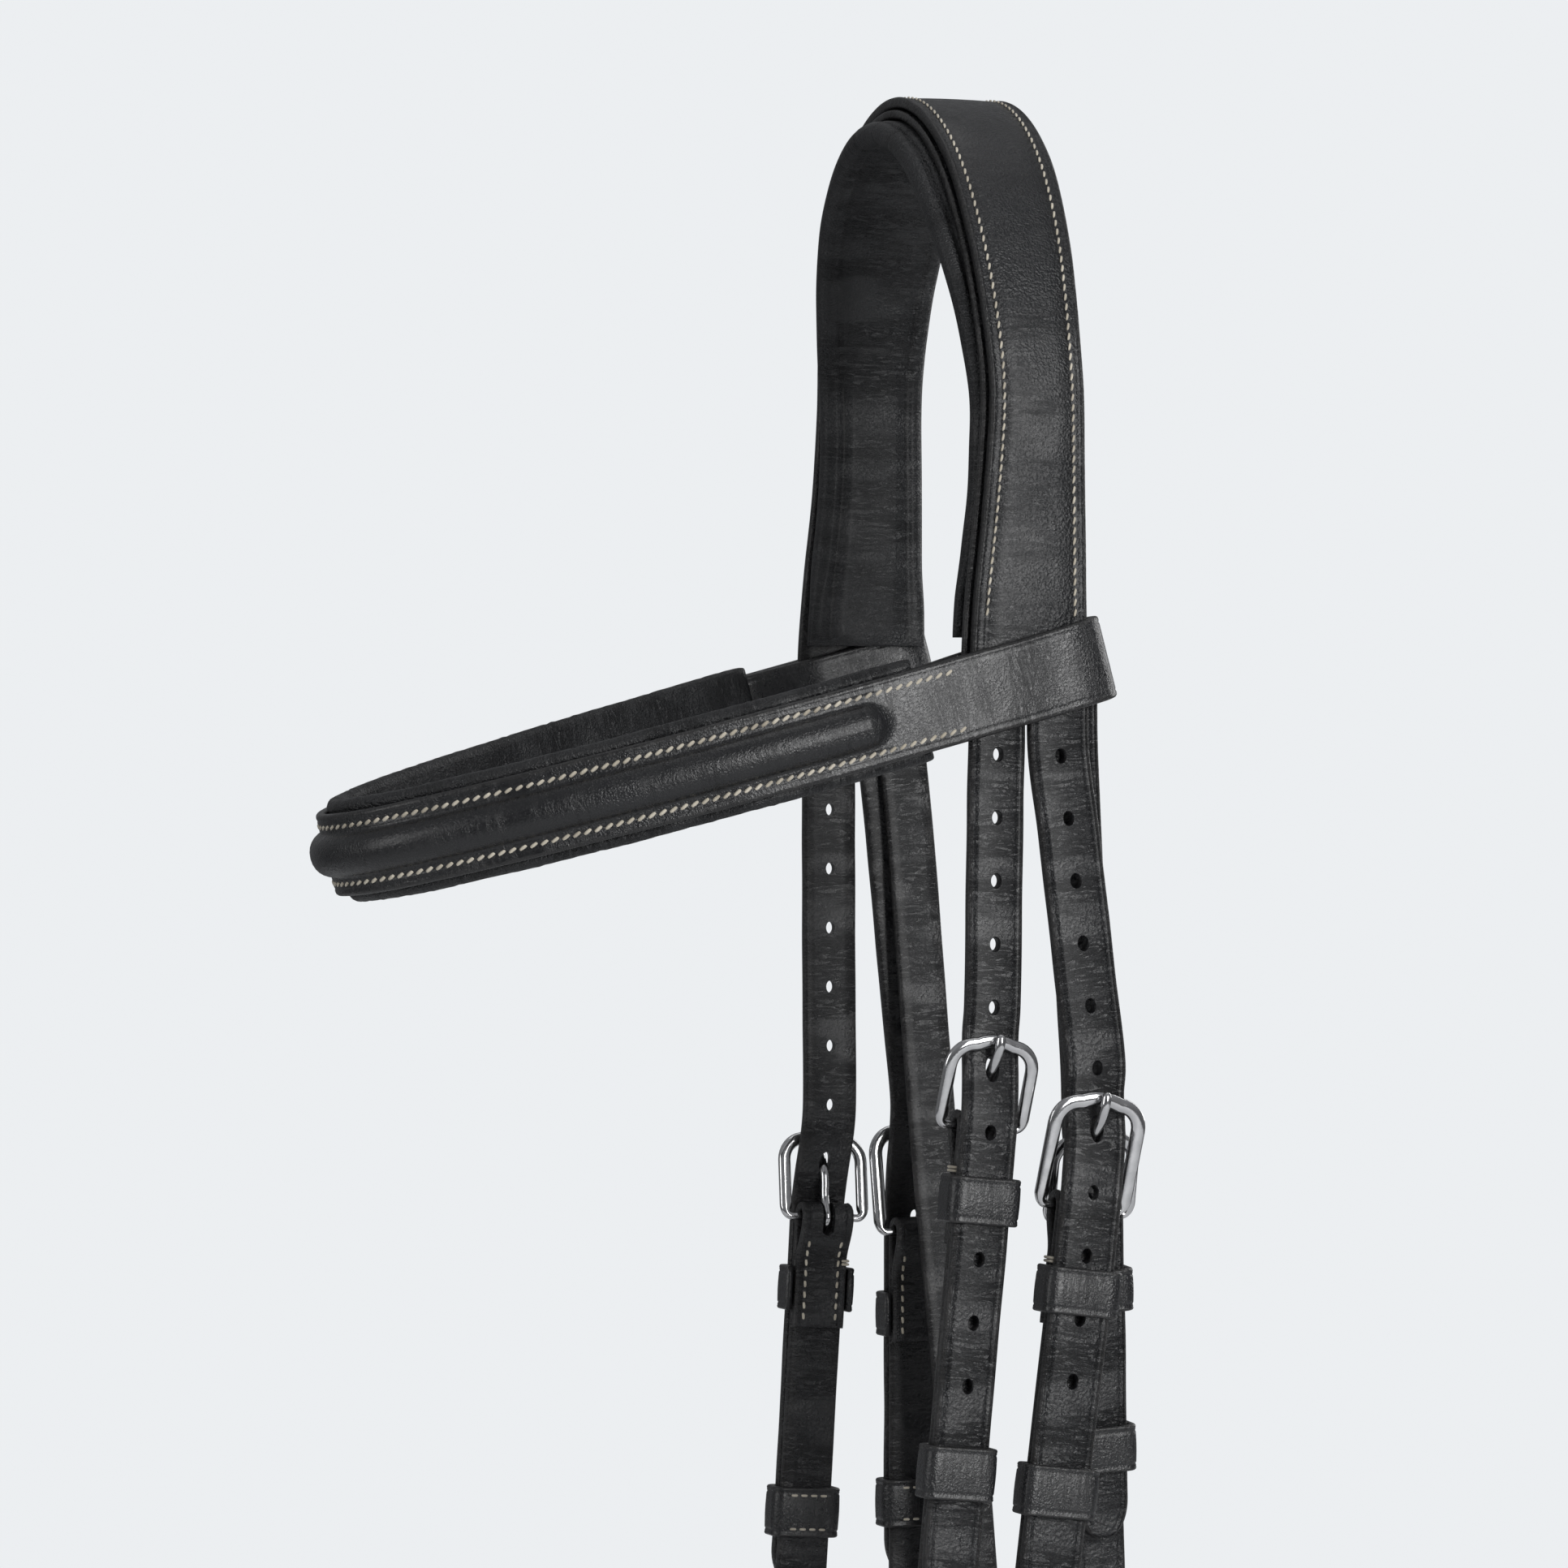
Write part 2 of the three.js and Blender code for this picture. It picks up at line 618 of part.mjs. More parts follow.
function throatLoop() {
  const origin = new THREE.Vector3(throat.x, throat.y, down(throat.drop));
  const frame = unitFrame(origin, new THREE.Vector3(-5, -7, 100), outNear);
  const legPlane = archHalfWidth - throatDepth - throatThickness / 2;
  const start = new THREE.Vector3(throatMiddle, -legPlane, down(flexDrop)).applyMatrix4(frame.inverse);
  const group = placeUnit(buckleUnit('throat', throat, start,
    { strap: 'throat_fold', point: 'throat_point' }), frame);
  const folded = group.children.find((mesh) => mesh.name === 'throat_fold');
  const bodyOut = -(foldInner + strapThickness / 2);
  const turn = (x, y, drop) => new THREE.Vector3(x, y, down(drop)).applyMatrix4(frame.inverse);
  const points = [
    new THREE.Vector3(0, bodyOut, -30), new THREE.Vector3(0, bodyOut, -60), new THREE.Vector3(0, bodyOut, -110),
    turn(28, -36, 450), turn(30, -29, 485), turn(31, 0, throatBottomDrop), turn(31, 29, 485),
    turn(30, 37, 450), turn(27, 44, 380), turn(20, 52, 280), turn(throatMiddle + 2, legPlane - 0.4, 190),
    turn(throatMiddle, legPlane, flexDrop),
  ];
  const stations = stationsAlong(points, 46, evenEdges(throatWidth - 0.4));
  folded.geometry = join([folded.geometry, strap(stations, strapThickness, X)]);
  folded.name = 'throat_loop_strap';
  return group;
}

// Noseband: a padded band round the nose and a strap under the chin
const noseOutline = halfEllipse(3, 112, 60.4, 6);
const nearBandEnd = new THREE.Vector3(24, -53.6, 0);
const farBandEnd = new THREE.Vector3(42, 46, 0);
const chinWay = new THREE.Vector3(0.946, 0.324, 0).normalize();
const chin = {
  width: throatWidth, buckle: smallBuckle, holes: 6, keeperHeight: 8, runnerHeight: 8,
  length: 46, tip: 42, turnEnd: -20, tongueIn: 4, keeper: 15, runner: 26.5,
};

function noseband() {
  const group = new THREE.Group();
  group.position.set(0, 0, down(noseDrop));
  group.rotation.y = -noseTilt;
  const path = [farBandEnd, new THREE.Vector3(24, 53.6, 0), ...mirroredPath(noseOutline),
    new THREE.Vector3(11.5, -58.1, 0), nearBandEnd];
  const count = 32;
  const stations = stationsAlong(path, count, evenEdges(24));
  const band = strap(stations, bandThickness, Z, { columns: 6, crown: rollOver(count, 8) });
  group.add(named('noseband_strap', band, leather()));
  const padThick = 5;
  const padStations = stations.slice(5, -2).map((station) => ({ ...station, edges: [-16, 16] }));
  const inward = bandThickness / 2 + gap + padThick / 2;
  group.add(named('noseband_pad', strap(padStations, padThick, Z, { columns: 2, lift: -inward }), lining()));
  group.add(chinStraps());
  return group;
}

function chinStraps() {
  const outward = new THREE.Vector3(chinWay.y, -chinWay.x, 0);
  const origin = nearBandEnd.clone().addScaledVector(chinWay, 34).addScaledVector(outward, -0.1);
  const frame = unitFrame(origin, chinWay, outward);
  const local = (x, y) => new THREE.Vector3(x, y, 0).applyMatrix4(frame.inverse);
  const group = placeUnit(buckleUnit('chin', chin, null, { strap: 'chin_buckle_tab' }), frame);
  const out = pointOut(smallBuckle);
  const points = [local(25, 56.9), local(42, 49.6), local(62, 40), local(84, 25), local(96, 3), local(95, -15)];
  for (const up of [smallBuckle.rise + 8, smallBuckle.rise + 1, smallBuckle.tongueHole, 8, 2, -6, -20, -chin.tip]) {
    points.push(new THREE.Vector3(0, -profile(out, up), up));
  }
  const curve = new THREE.CatmullRomCurve3(points, false, 'centripetal');
  curve.arcLengthDivisions = 600;
  const length = curve.getLength();
  const stations = stationsAlong(points, 44, tipEdges(chin.width, 8));
  const body = strap(stations, pointThickness, X);
  group.add(named('chin_strap', cut(body, pointHoles(chin, curve, length)), leather()));
  return group;
}

function browbandGroup() {
  const group = new THREE.Group();
  group.position.set(0, 0, down(loopDrop));
  group.rotation.y = -browTilt;
  group.add(browband(), browbandPad());
  return group;
}

const bridle = new THREE.Group();
bridle.add(headpieceStrap(), headpiecePad(), throatStrapCrown());
bridle.add(browbandGroup());
bridle.add(sideStraps('near', nearFront, nearRear));
const farSide = sideStraps('far', farFront, farRear);
farSide.scale.y = -1;
bridle.add(farSide);
bridle.add(throatLoop());
bridle.add(noseband());

export default bridle;
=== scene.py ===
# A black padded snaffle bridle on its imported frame: leather, padding, thread and steel.
# Lengths are in millimetres until a mesh is made. -X is the horse's forward, -Y its
# near side, +Z up, and a "drop" is a distance below the outer top of the crown.
import json
import math

import bmesh
import bpy
import numpy as np
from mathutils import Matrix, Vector
from mathutils.noise import noise

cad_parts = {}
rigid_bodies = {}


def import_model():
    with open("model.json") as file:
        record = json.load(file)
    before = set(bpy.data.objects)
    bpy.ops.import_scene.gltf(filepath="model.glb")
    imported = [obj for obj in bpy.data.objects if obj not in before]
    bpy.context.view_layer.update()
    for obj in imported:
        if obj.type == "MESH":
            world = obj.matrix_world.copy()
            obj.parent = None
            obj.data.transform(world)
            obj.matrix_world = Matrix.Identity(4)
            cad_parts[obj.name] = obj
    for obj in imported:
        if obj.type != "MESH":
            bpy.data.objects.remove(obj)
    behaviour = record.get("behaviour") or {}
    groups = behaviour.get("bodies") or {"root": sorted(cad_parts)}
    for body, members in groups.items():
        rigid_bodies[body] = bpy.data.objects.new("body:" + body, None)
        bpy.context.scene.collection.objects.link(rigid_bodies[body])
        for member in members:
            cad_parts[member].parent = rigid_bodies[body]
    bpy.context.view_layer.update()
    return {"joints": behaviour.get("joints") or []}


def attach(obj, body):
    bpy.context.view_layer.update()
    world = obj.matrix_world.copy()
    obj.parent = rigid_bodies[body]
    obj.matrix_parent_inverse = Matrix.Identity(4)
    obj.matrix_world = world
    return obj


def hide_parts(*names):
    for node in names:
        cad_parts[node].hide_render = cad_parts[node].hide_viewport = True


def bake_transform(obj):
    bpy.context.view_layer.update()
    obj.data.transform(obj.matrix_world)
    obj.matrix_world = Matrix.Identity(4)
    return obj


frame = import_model()

# Driving dimensions
MM = 0.001
CROWN_TOP = 13.2
ARCH_HALF_WIDTH = 63.3
ARCH_HEIGHT = 90.3
HEAD_THICKNESS = 3.0
THROAT_THICKNESS = 2.4
PAD_THICKNESS = 7.0
BAND_THICKNESS = 2.6
STRAP_THICKNESS = 2.2
POINT_THICKNESS = 2.8
KEEPER_LEATHER = 1.8
GAP = 0.4
LOOP_DROP = 153.0
BROW_TILT = math.radians(-15.2)
NOSE_DROP = 418.0
NOSE_TILT = math.radians(-8)
FLEX_DROP = 169.0          # the hanging straps' hinges, just under the loops
JOIN_DROP = 152.5          # where the headpiece becomes its points, inside the loops
HOLE_PITCH = 16.0
BAR_HALF = 1.1
FOLD_INNER = 1.9
FOLD_OUTER = FOLD_INNER + STRAP_THICKNESS
FOLD_MIDDLE = (FOLD_INNER + FOLD_OUTER) / 2
BACK_MIDDLE = FOLD_INNER - STRAP_THICKNESS / 2
POINT_RISE = FOLD_OUTER + GAP + POINT_THICKNESS / 2
FRAME_TIP_OUT = 5.6
BIT_LOOP_INNER = 5.0
STUD_UP = 36.0
BIT_KEEPER_UP = 23.5

X_AXIS = np.array([1.0, 0.0, 0.0])
Z_AXIS = np.array([0.0, 0.0, 1.0])

SMALL_BUCKLE = {"half": 9.4, "rise": 22.0, "rim": 3.4, "hole": 14.8}
LARGE_BUCKLE = {"half": 9.6, "rise": 28.0, "rim": 3.8, "hole": 20.0}


def down(drop):
    return CROWN_TOP - drop


def unit(vector):
    return vector / np.linalg.norm(vector)


def smooth_step(value, low, high):
    part = min(max((value - low) / (high - low), 0.0), 1.0)
    return part * part * (3 - 2 * part)


def profile(pairs, position, soften=0.0):
    """Value read off [position, value] pairs; soften averages it over that distance."""
    where = [pair[0] for pair in pairs]
    values = [pair[1] for pair in pairs]
    spread = np.linspace(-soften, soften, 7)
    return float(np.mean(np.interp(position + spread, where, values)))


# Paths
def spline(points, steps=18):
    """Points of a centripetal Catmull-Rom curve through the given ones."""
    row = [2 * points[0] - points[1], *points, 2 * points[-1] - points[-2]]
    curve = []
    for p0, p1, p2, p3 in zip(row, row[1:], row[2:], row[3:]):
        d1 = np.linalg.norm(p1 - p0) ** 0.5
        d2 = np.linalg.norm(p2 - p1) ** 0.5
        d3 = np.linalg.norm(p3 - p2) ** 0.5
        leave = ((p1 - p0) / d1 - (p2 - p0) / (d1 + d2)) * d2 + (p2 - p1)
        arrive = ((p3 - p2) / d3 - (p3 - p1) / (d2 + d3)) * d2 + (p2 - p1)
        for k in range(steps):
            t = k / steps
            curve.append(
                (2 * t**3 - 3 * t**2 + 1) * p1
                + (t**3 - 2 * t**2 + t) * leave
                + (3 * t**2 - 2 * t**3) * p2
                + (t**3 - t**2) * arrive
            )
    curve.append(points[-1])
    return curve


class Path:
    """A way through space, measured along its length."""

    def __init__(self, points, smooth=True):
        points = [np.array(point, float) for point in points]
        self.points = np.array(spline(points) if smooth else points)
        steps = np.linalg.norm(np.diff(self.points, axis=0), axis=1)
        self.runs = np.concatenate([[0.0], np.cumsum(steps)])
        self.length = float(self.runs[-1])

    def at(self, run):
        return np.array([np.interp(run, self.runs, self.points[:, k]) for k in range(3)])

    def along(self, run, reach=0.6):
        low = max(run - reach, 0.0)
        high = min(run + reach, self.length)
        return unit(self.at(high) - self.at(low))

    def frame_at(self, run, hint):
        """Place, outward and across at a run, with hint lying across the strap."""
        along = self.along(run)
        out = unit(np.cross(along, hint))
        return self.at(run), out, np.cross(out, along)

    def runs_evenly(self, step, fine=(0.12, 0.35, 0.75, 1.3)):
        """Runs a step apart, closer together at both ends."""
        inner = [run for run in fine if run < self.length / 3]
        start = inner[-1] if inner else 0.0
        count = max(int((self.length - 2 * start) / step), 2)
        middle = list(np.linspace(start, self.length - start, count + 1))
        return [0.0] + inner[:-1] + middle + [self.length - run for run in inner[:-1]][::-1] + [self.length]


# Meshes
CORNER_TURNS = [math.radians(angle) for angle in (0, 30, 60, 90)]


def strap_ring(left, right, half, corner, columns, top):
    """Ring of (across, out, edge) round a strap's section. top(across) raises the outer face."""
    ring = []
    for turn in CORNER_TURNS:
        ring.append((left + corner * (1 - math.cos(turn)), half - corner * (1 - math.sin(turn)), 1.0))
    for across in columns:
        ring.append((across, half + top(across), 0.0))
    for turn in CORNER_TURNS[::-1]:
        ring.append((right - corner * (1 - math.cos(turn)), half - corner * (1 - math.sin(turn)), 1.0))
    for turn in CORNER_TURNS:
        ring.append((right - corner * (1 - math.cos(turn)), corner * (1 - math.sin(turn)) - half, 1.0))
    for part in (0.75, 0.5, 0.25):
        ring.append((left + (right - left) * part, -half, 0.0))
    for turn in CORNER_TURNS[::-1]:
        ring.append((left + corner * (1 - math.cos(turn)), corner * (1 - math.sin(turn)) - half, 1.0))
    return ring


def pressed(across, left, right, lines):
    """Depth of lines pressed into the outer face at set distances from both edges."""
    inside = min(across - left, right - across)
    return -sum(depth * max(0.0, 1 - abs(inside - place) / reach) for place, depth, reach in lines)


CREASE = [(2.0, 0.22, 0.5)]
SEAM = [(1.9, 0.14, 0.45), (3.4, 0.3, 0.6)]
EDGE_STEPS = (1.1, 1.55, 2.0, 2.45, 2.9, 3.4, 3.9)


def edge_columns(left, right, middle=4):
    """Places across the outer face, close together at the lines near its edges."""
    fit = min((right - left) / 10, 1.0)
    near = [left + step * fit for step in EDGE_STEPS]
    far = [right - step * fit for step in reversed(EDGE_STEPS)]
    return near + list(np.linspace(near[-1], far[0], middle + 2)[1:-1]) + far


def strap_section(edges, thickness, length, lines=CREASE, dome=0.18):
    """Section of a plain strap whose edges(run) gives left and right."""

    def section(run):
        left, right = edges(run)
        end = min(run, length - run, 1.3)
        half = thickness / 2 * (0.45 + 0.55 * math.sqrt(1 - (1 - end / 1.3) ** 2))
        corner = min(0.42 * thickness, 0.9, 0.45 * (right - left)) * half / thickness * 2
        middle = (left + right) / 2
        reach = (right - left) / 2

        def top(across):
            bow = -dome * ((across - middle) / reach) ** 2
            return bow + (pressed(across, left, right, lines) if right - left > 9 else 0.0)

        return strap_ring(left, right, half, corner, edge_columns(left, right), top)

    return section


def make_mesh(name, vertices, faces, uvs=None, edges=None):
    """A smooth-shaded mesh object from millimetre vertices."""
    mesh = bpy.data.meshes.new(name)
    mesh.from_pydata([tuple(np.array(v) * MM) for v in vertices], [], faces)
    if uvs is not None:
        layer = mesh.uv_layers.new(name="UVMap")
        for loop in mesh.loops:
            layer.data[loop.index].uv = uvs[loop.vertex_index]
    if edges is not None:
        wear = mesh.attributes.new("edge_wear", "FLOAT", "POINT")
        wear.data.foreach_set("value", np.array(edges, np.float32))
    mesh.shade_smooth()
    obj = bpy.data.objects.new(name, mesh)
    bpy.context.scene.collection.objects.link(obj)
    fix_normals(obj)
    return obj


def fix_normals(obj):
    bm = bmesh.new()
    bm.from_mesh(obj.data)
    bmesh.ops.recalc_face_normals(bm, faces=bm.faces)
    bm.to_mesh(obj.data)
    bm.free()


def sweep(name, path, hint, section, step=1.6, wobble=0.12, runs=None, seed=0.0):
    """A strap along a path. wobble is how far the hand-worked leather strays."""
    vertices, uvs, edges = [], [], []
    runs = path.runs_evenly(step) if runs is None else runs
    for run in runs:
        at, out, across = path.frame_at(run, hint)
        spot = at / 28 + seed
        stray = wobble * noise(Vector(spot))
        sway = wobble * 0.8 * noise(Vector(spot * 1.7 + 9))
        for side, height, edge in section(run):
            vertices.append(at + across * (side + sway) + out * (height + stray))
            uvs.append((side * 0.01, run * 0.01))
            edges.append(edge)
    count = len(section(runs[0]))
    faces = quads_between(len(runs), count, closed=False)
    last = (len(runs) - 1) * count
    faces.append(tuple(range(count)))
    faces.append(tuple(range(last + count - 1, last - 1, -1)))
    return make_mesh(name, vertices, faces, uvs, edges)


def quads_between(rings, count, closed):
    faces = []
    for i in range(rings if closed else rings - 1):
        low = i * count
        high = (i + 1) % rings * count
        for k in range(count):
            after = (k + 1) % count
            faces.append((low + k, high + k, high + after, low + after))
    return faces


def ring_sweep(name, points, axis, section):
    """A closed loop in a plane. section(i) gives (along axis, outward, edge) triples."""
    points = [np.array(point, float) for point in points]
    centre = np.mean(points, axis=0)
    vertices, uvs, edges = [], [], []
    run = 0.0
    for i, point in enumerate(points):
        ahead = points[(i + 1) % len(points)]
        along = unit(ahead - points[i - 1])
        out = unit(np.cross(along, axis))
        if np.dot(out, point - centre) < 0 and abs(np.dot(out, unit(point - centre))) > 0.3:
            out = -out
        for side, height, edge in section(i):
            vertices.append(point + axis * side + out * height)
            uvs.append((side * 0.01, run * 0.01))
            edges.append(edge)
        run += np.linalg.norm(ahead - point)
    faces = quads_between(len(points), len(section(0)), closed=True)
    return make_mesh(name, vertices, faces, uvs, edges)


def tube(name, points, radii, sides=12):
    """A round bar through points whose radius is read off radii by share of length."""
    path = Path(points)
    hint = unit(np.cross(points[1] - points[0], points[2] - points[0]))
    vertices = []
    runs = path.runs_evenly(0.8, fine=(0.1, 0.25, 0.5))
    for run in runs:
        at, out, across = path.frame_at(run, hint)
        radius = profile(radii, run / path.length)
        radius *= math.sqrt(1 - (1 - min(run, path.length - run, radius) / radius) ** 2) + 0.02
        for k in range(sides):
            turn = 2 * math.pi * k / sides
            vertices.append(at + radius * (out * math.cos(turn) + across * math.sin(turn)))
    faces = quads_between(len(runs), sides, closed=False)
    last = (len(runs) - 1) * sides
    faces.append(tuple(range(sides)))
    faces.append(tuple(range(last + sides - 1, last - 1, -1)))
    return make_mesh(name, vertices, faces)


def cut(obj, cutters, touches_itself=False):
    """Cuts closed meshes out of a piece and removes them. Losing the piece is an error."""
    for cutter in cutters[1:]:
        join_into(cutters[0], cutter)
    tool = obj.modifiers.new("holes", "BOOLEAN")
    tool.operation = "DIFFERENCE"
    tool.solver = "EXACT"
    tool.use_self = touches_itself
    tool.object = cutters[0]
    depsgraph = bpy.context.evaluated_depsgraph_get()
    result = bpy.data.meshes.new_from_object(obj.evaluated_get(depsgraph))
    obj.modifiers.clear()
    if len(result.polygons) < len(obj.data.polygons) / 2:
        raise RuntimeError(f"the cut through {obj.name} lost its mesh")
    obj.data = result
    bpy.data.objects.remove(cutters[0])
    obj.data.set_sharp_from_angle(angle=math.radians(40))


def join_into(target, other):
    bm = bmesh.new()
    bm.from_mesh(target.data)
    bm.from_mesh(other.data)
    bm.to_mesh(target.data)
    bm.free()
    bpy.data.objects.remove(other)


def hole_cutter(at, along, out, half_long, half_wide, flare=0.35):
    """A punched hole, wider where the punch went in. It passes right through a strap."""
    across = np.cross(out, along)
    vertices = []
    face = POINT_THICKNESS / 2
    levels = [(-4.0, 0.0), (face - 0.5, 0.0), (face + 0.05, flare), (4.0, flare)]
    sides = 20
    for level, grow in levels:
        for k in range(sides):
            turn = 2 * math.pi * k / sides
            vertices.append(
                at
                + out * level
                + along * (half_long + grow) * math.cos(turn)
                + across * (half_wide + grow) * math.sin(turn)
            )
    faces = quads_between(len(levels), sides, closed=False)
    last = (len(levels) - 1) * sides
    faces.append(tuple(range(sides)))
    faces.append(tuple(range(last + sides - 1, last - 1, -1)))
    return make_mesh("cutter", vertices, faces)


# Thread
STITCH_SIDES = 6
STITCH_SHAPE = [
    (-1.0, 0.3, -0.5), (-0.75, 0.85, -0.1), (-0.3, 1.0, 0.05),
    (0.3, 1.0, 0.05), (0.75, 0.85, -0.1), (1.0, 0.3, -0.5),
]


def stitch_row(path, hint, side, height, start, end, pitch=2.7, slant=16.0):
    """Places and directions of slanted stitches along a path. side may be a function of run."""
    row = []
    count = int((end - start) / pitch)
    for k in range(count):
        run = start + (end - start) * (k + 0.5) / count
        at, out, across = path.frame_at(run, hint)
        off = side(run) if callable(side) else side
        lift = height(run) if callable(height) else height
        along = np.cross(across, out)
        turn = math.radians(slant)
        way = along * math.cos(turn) + across * math.sin(turn)
        row.append((at + across * off + out * lift, way, out))
    return row


def thread(name, stitches, length=2.0, radius=0.3):
    """One mesh of many short stitches, each rising from one hole and sinking in the next."""
    vertices, faces = [], []
    for at, way, out in stitches:
        across = np.cross(out, way)
        base = len(vertices)
        for part, size, lift in STITCH_SHAPE:
            centre = at + way * part * length / 2 + out * lift * radius * 1.4
            for k in range(STITCH_SIDES):
                turn = 2 * math.pi * k / STITCH_SIDES
                vertices.append(
                    centre
                    + radius * size * (across * math.cos(turn) * 1.15 + out * math.sin(turn) * 0.9)
                )
        quads = quads_between(len(STITCH_SHAPE), STITCH_SIDES, closed=False)
        faces += [tuple(base + k for k in face) for face in quads]
        last = base + (len(STITCH_SHAPE) - 1) * STITCH_SIDES
        faces.append(tuple(range(base, base + STITCH_SIDES)))
        faces.append(tuple(range(last + STITCH_SIDES - 1, last - 1, -1)))
    return finish_piece(make_mesh(name, vertices, faces), THREAD)


def finish_piece(obj, material):
    obj.data.materials.clear()
    obj.data.materials.append(material)
    return obj


def ride(obj, body, *nodes):
    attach(obj, body)
    if nodes:
        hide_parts(*nodes)
    return obj


# Materials
class Nodes:
    """A material's node tree, built one linked node at a time."""

    def __init__(self, name):
        self.material = bpy.data.materials.new(name)
        self.material.use_nodes = True
        self.tree = self.material.node_tree
        self.shader = self.tree.nodes["Principled BSDF"]

    def add(self, kind, settings=None, **inputs):
        node = self.tree.nodes.new(kind)
        for key, value in (settings or {}).items():
            setattr(node, key, value)
        for key, value in inputs.items():
            self.put(node, key.replace("_", " "), value)
        return node

    def put(self, node, socket, value):
        target = node.inputs[int(socket)] if socket.isdigit() else node.inputs[socket]
        if isinstance(value, bpy.types.NodeSocket):
            self.tree.links.new(value, target)
        else:
            target.default_value = value

    def math(self, operation, first, second):
        node = self.add("ShaderNodeMath", {"operation": operation})
        self.put(node, "0", first)
        self.put(node, "1", second)
        return node.outputs[0]

    def remap(self, value, low, high, to_low, to_high):
        node = self.add("ShaderNodeMapRange", Value=value)
        for socket, number in zip(("1", "2", "3", "4"), (low, high, to_low, to_high)):
            self.put(node, socket, number)
        return node.outputs[0]

    def noise(self, vector, scale, detail=3.0, roughness=0.55, distortion=0.0):
        node = self.add("ShaderNodeTexNoise", Vector=vector, Scale=scale, Detail=detail)
        self.put(node, "Roughness", roughness)
        self.put(node, "Distortion", distortion)
        return node.outputs["Fac"]

    def stretched(self, vector, scale):
        node = self.add("ShaderNodeMapping", Vector=vector)
        node.inputs["Scale"].default_value = scale
        return node.outputs["Vector"]

    def mix(self, factor, first, second):
        node = self.add("ShaderNodeMix", {"data_type": "RGBA"})
        self.tree.links.new(factor, node.inputs["Factor"])
        for socket, value in (("A", first), ("B", second)):
            target = [s for s in node.inputs if s.name == socket and s.type == "RGBA"][0]
            if isinstance(value, bpy.types.NodeSocket):
                self.tree.links.new(value, target)
            else:
                target.default_value = value
        return [s for s in node.outputs if s.type == "RGBA"][0]

    def bump(self, height, distance, strength=1.0, below=None):
        node = self.add("ShaderNodeBump", Height=height, Distance=distance, Strength=strength)
        if below is not None:
            self.tree.links.new(below, node.inputs["Normal"])
        return node.outputs["Normal"]


def leather(name, colour, worn, rough, grain=1.0, wrinkle=1.0, coat=0.12, cell=0.85):
    """Black leather: pebbled grain, creases across the strap, uneven wax and rubbed edges."""
    nodes = Nodes(name)
    place = nodes.add("ShaderNodeTexCoord")
    body = nodes.stretched(place.outputs["Object"], (1000, 1000, 1000))
    along = place.outputs["UV"]
    drift = nodes.noise(body, 0.35, 2.0)
    warped = nodes.add("ShaderNodeVectorMath", {"operation": "ADD"})
    nodes.put(warped, "0", body)
    nodes.put(warped, "1", nodes.add("ShaderNodeTexNoise", Vector=body, Scale=0.9).outputs["Color"])
    pebble = nodes.add("ShaderNodeTexVoronoi", {"feature": "SMOOTH_F1"}, Vector=warped.outputs[0])
    nodes.put(pebble, "Scale", 1 / cell)
    nodes.put(pebble, "Smoothness", 0.6)
    pores = nodes.noise(body, 3.2, 3.0)
    patches = nodes.noise(body, 0.055, 2.0)
    grain_amount = nodes.remap(patches, 0.35, 0.65, 0.35 * grain, grain)
    pebbles = nodes.math("MULTIPLY", pebble.outputs["Distance"], grain_amount)
    surface = nodes.math("ADD", pebbles, nodes.math("MULTIPLY", pores, 0.35 * grain))

    creases = nodes.noise(nodes.stretched(along, (13, 58, 1)), 1.0, 4.0, 0.6, 1.2)
    from_middle = nodes.math("ABSOLUTE", nodes.math("SUBTRACT", creases, 0.5), 0.0)
    ridges = nodes.remap(from_middle, 0.0, 0.09, 1.0, 0.0)
    where = nodes.remap(nodes.noise(nodes.stretched(along, (3, 9, 1)), 1.0, 2.0), 0.4, 0.66, 0.0, wrinkle)
    folds = nodes.math("MULTIPLY", ridges, where)

    normal = nodes.bump(folds, -0.00055, 1.0)
    normal = nodes.bump(surface, 0.00042, 0.9, normal)
    nodes.tree.links.new(normal, nodes.shader.inputs["Normal"])

    edge = nodes.add("ShaderNodeAttribute", {"attribute_name": "edge_wear"}).outputs["Fac"]
    rubbed = nodes.math("MULTIPLY", edge, nodes.remap(drift, 0.3, 0.7, 0.15, 0.75))
    paler = tuple(1.45 * channel for channel in colour[:3]) + (1,)
    shade = nodes.mix(nodes.remap(patches, 0.3, 0.7, 0.0, 1.0), colour, paler)
    shade = nodes.mix(rubbed, shade, worn)
    nodes.tree.links.new(shade, nodes.shader.inputs["Base Color"])
    waxed = nodes.remap(drift, 0.3, 0.7, rough - 0.07, rough + 0.09)
    dull = nodes.math("ADD", waxed, nodes.math("MULTIPLY", folds, 0.12))
    rough_edges = nodes.math("ADD", dull, nodes.math("MULTIPLY", rubbed, 0.12))
    nodes.tree.links.new(rough_edges, nodes.shader.inputs["Roughness"])
    nodes.shader.inputs["Coat Weight"].default_value = coat
    nodes.shader.inputs["Coat Roughness"].default_value = 0.22
    nodes.shader.inputs["Specular IOR Level"].default_value = 0.5
    return nodes.material


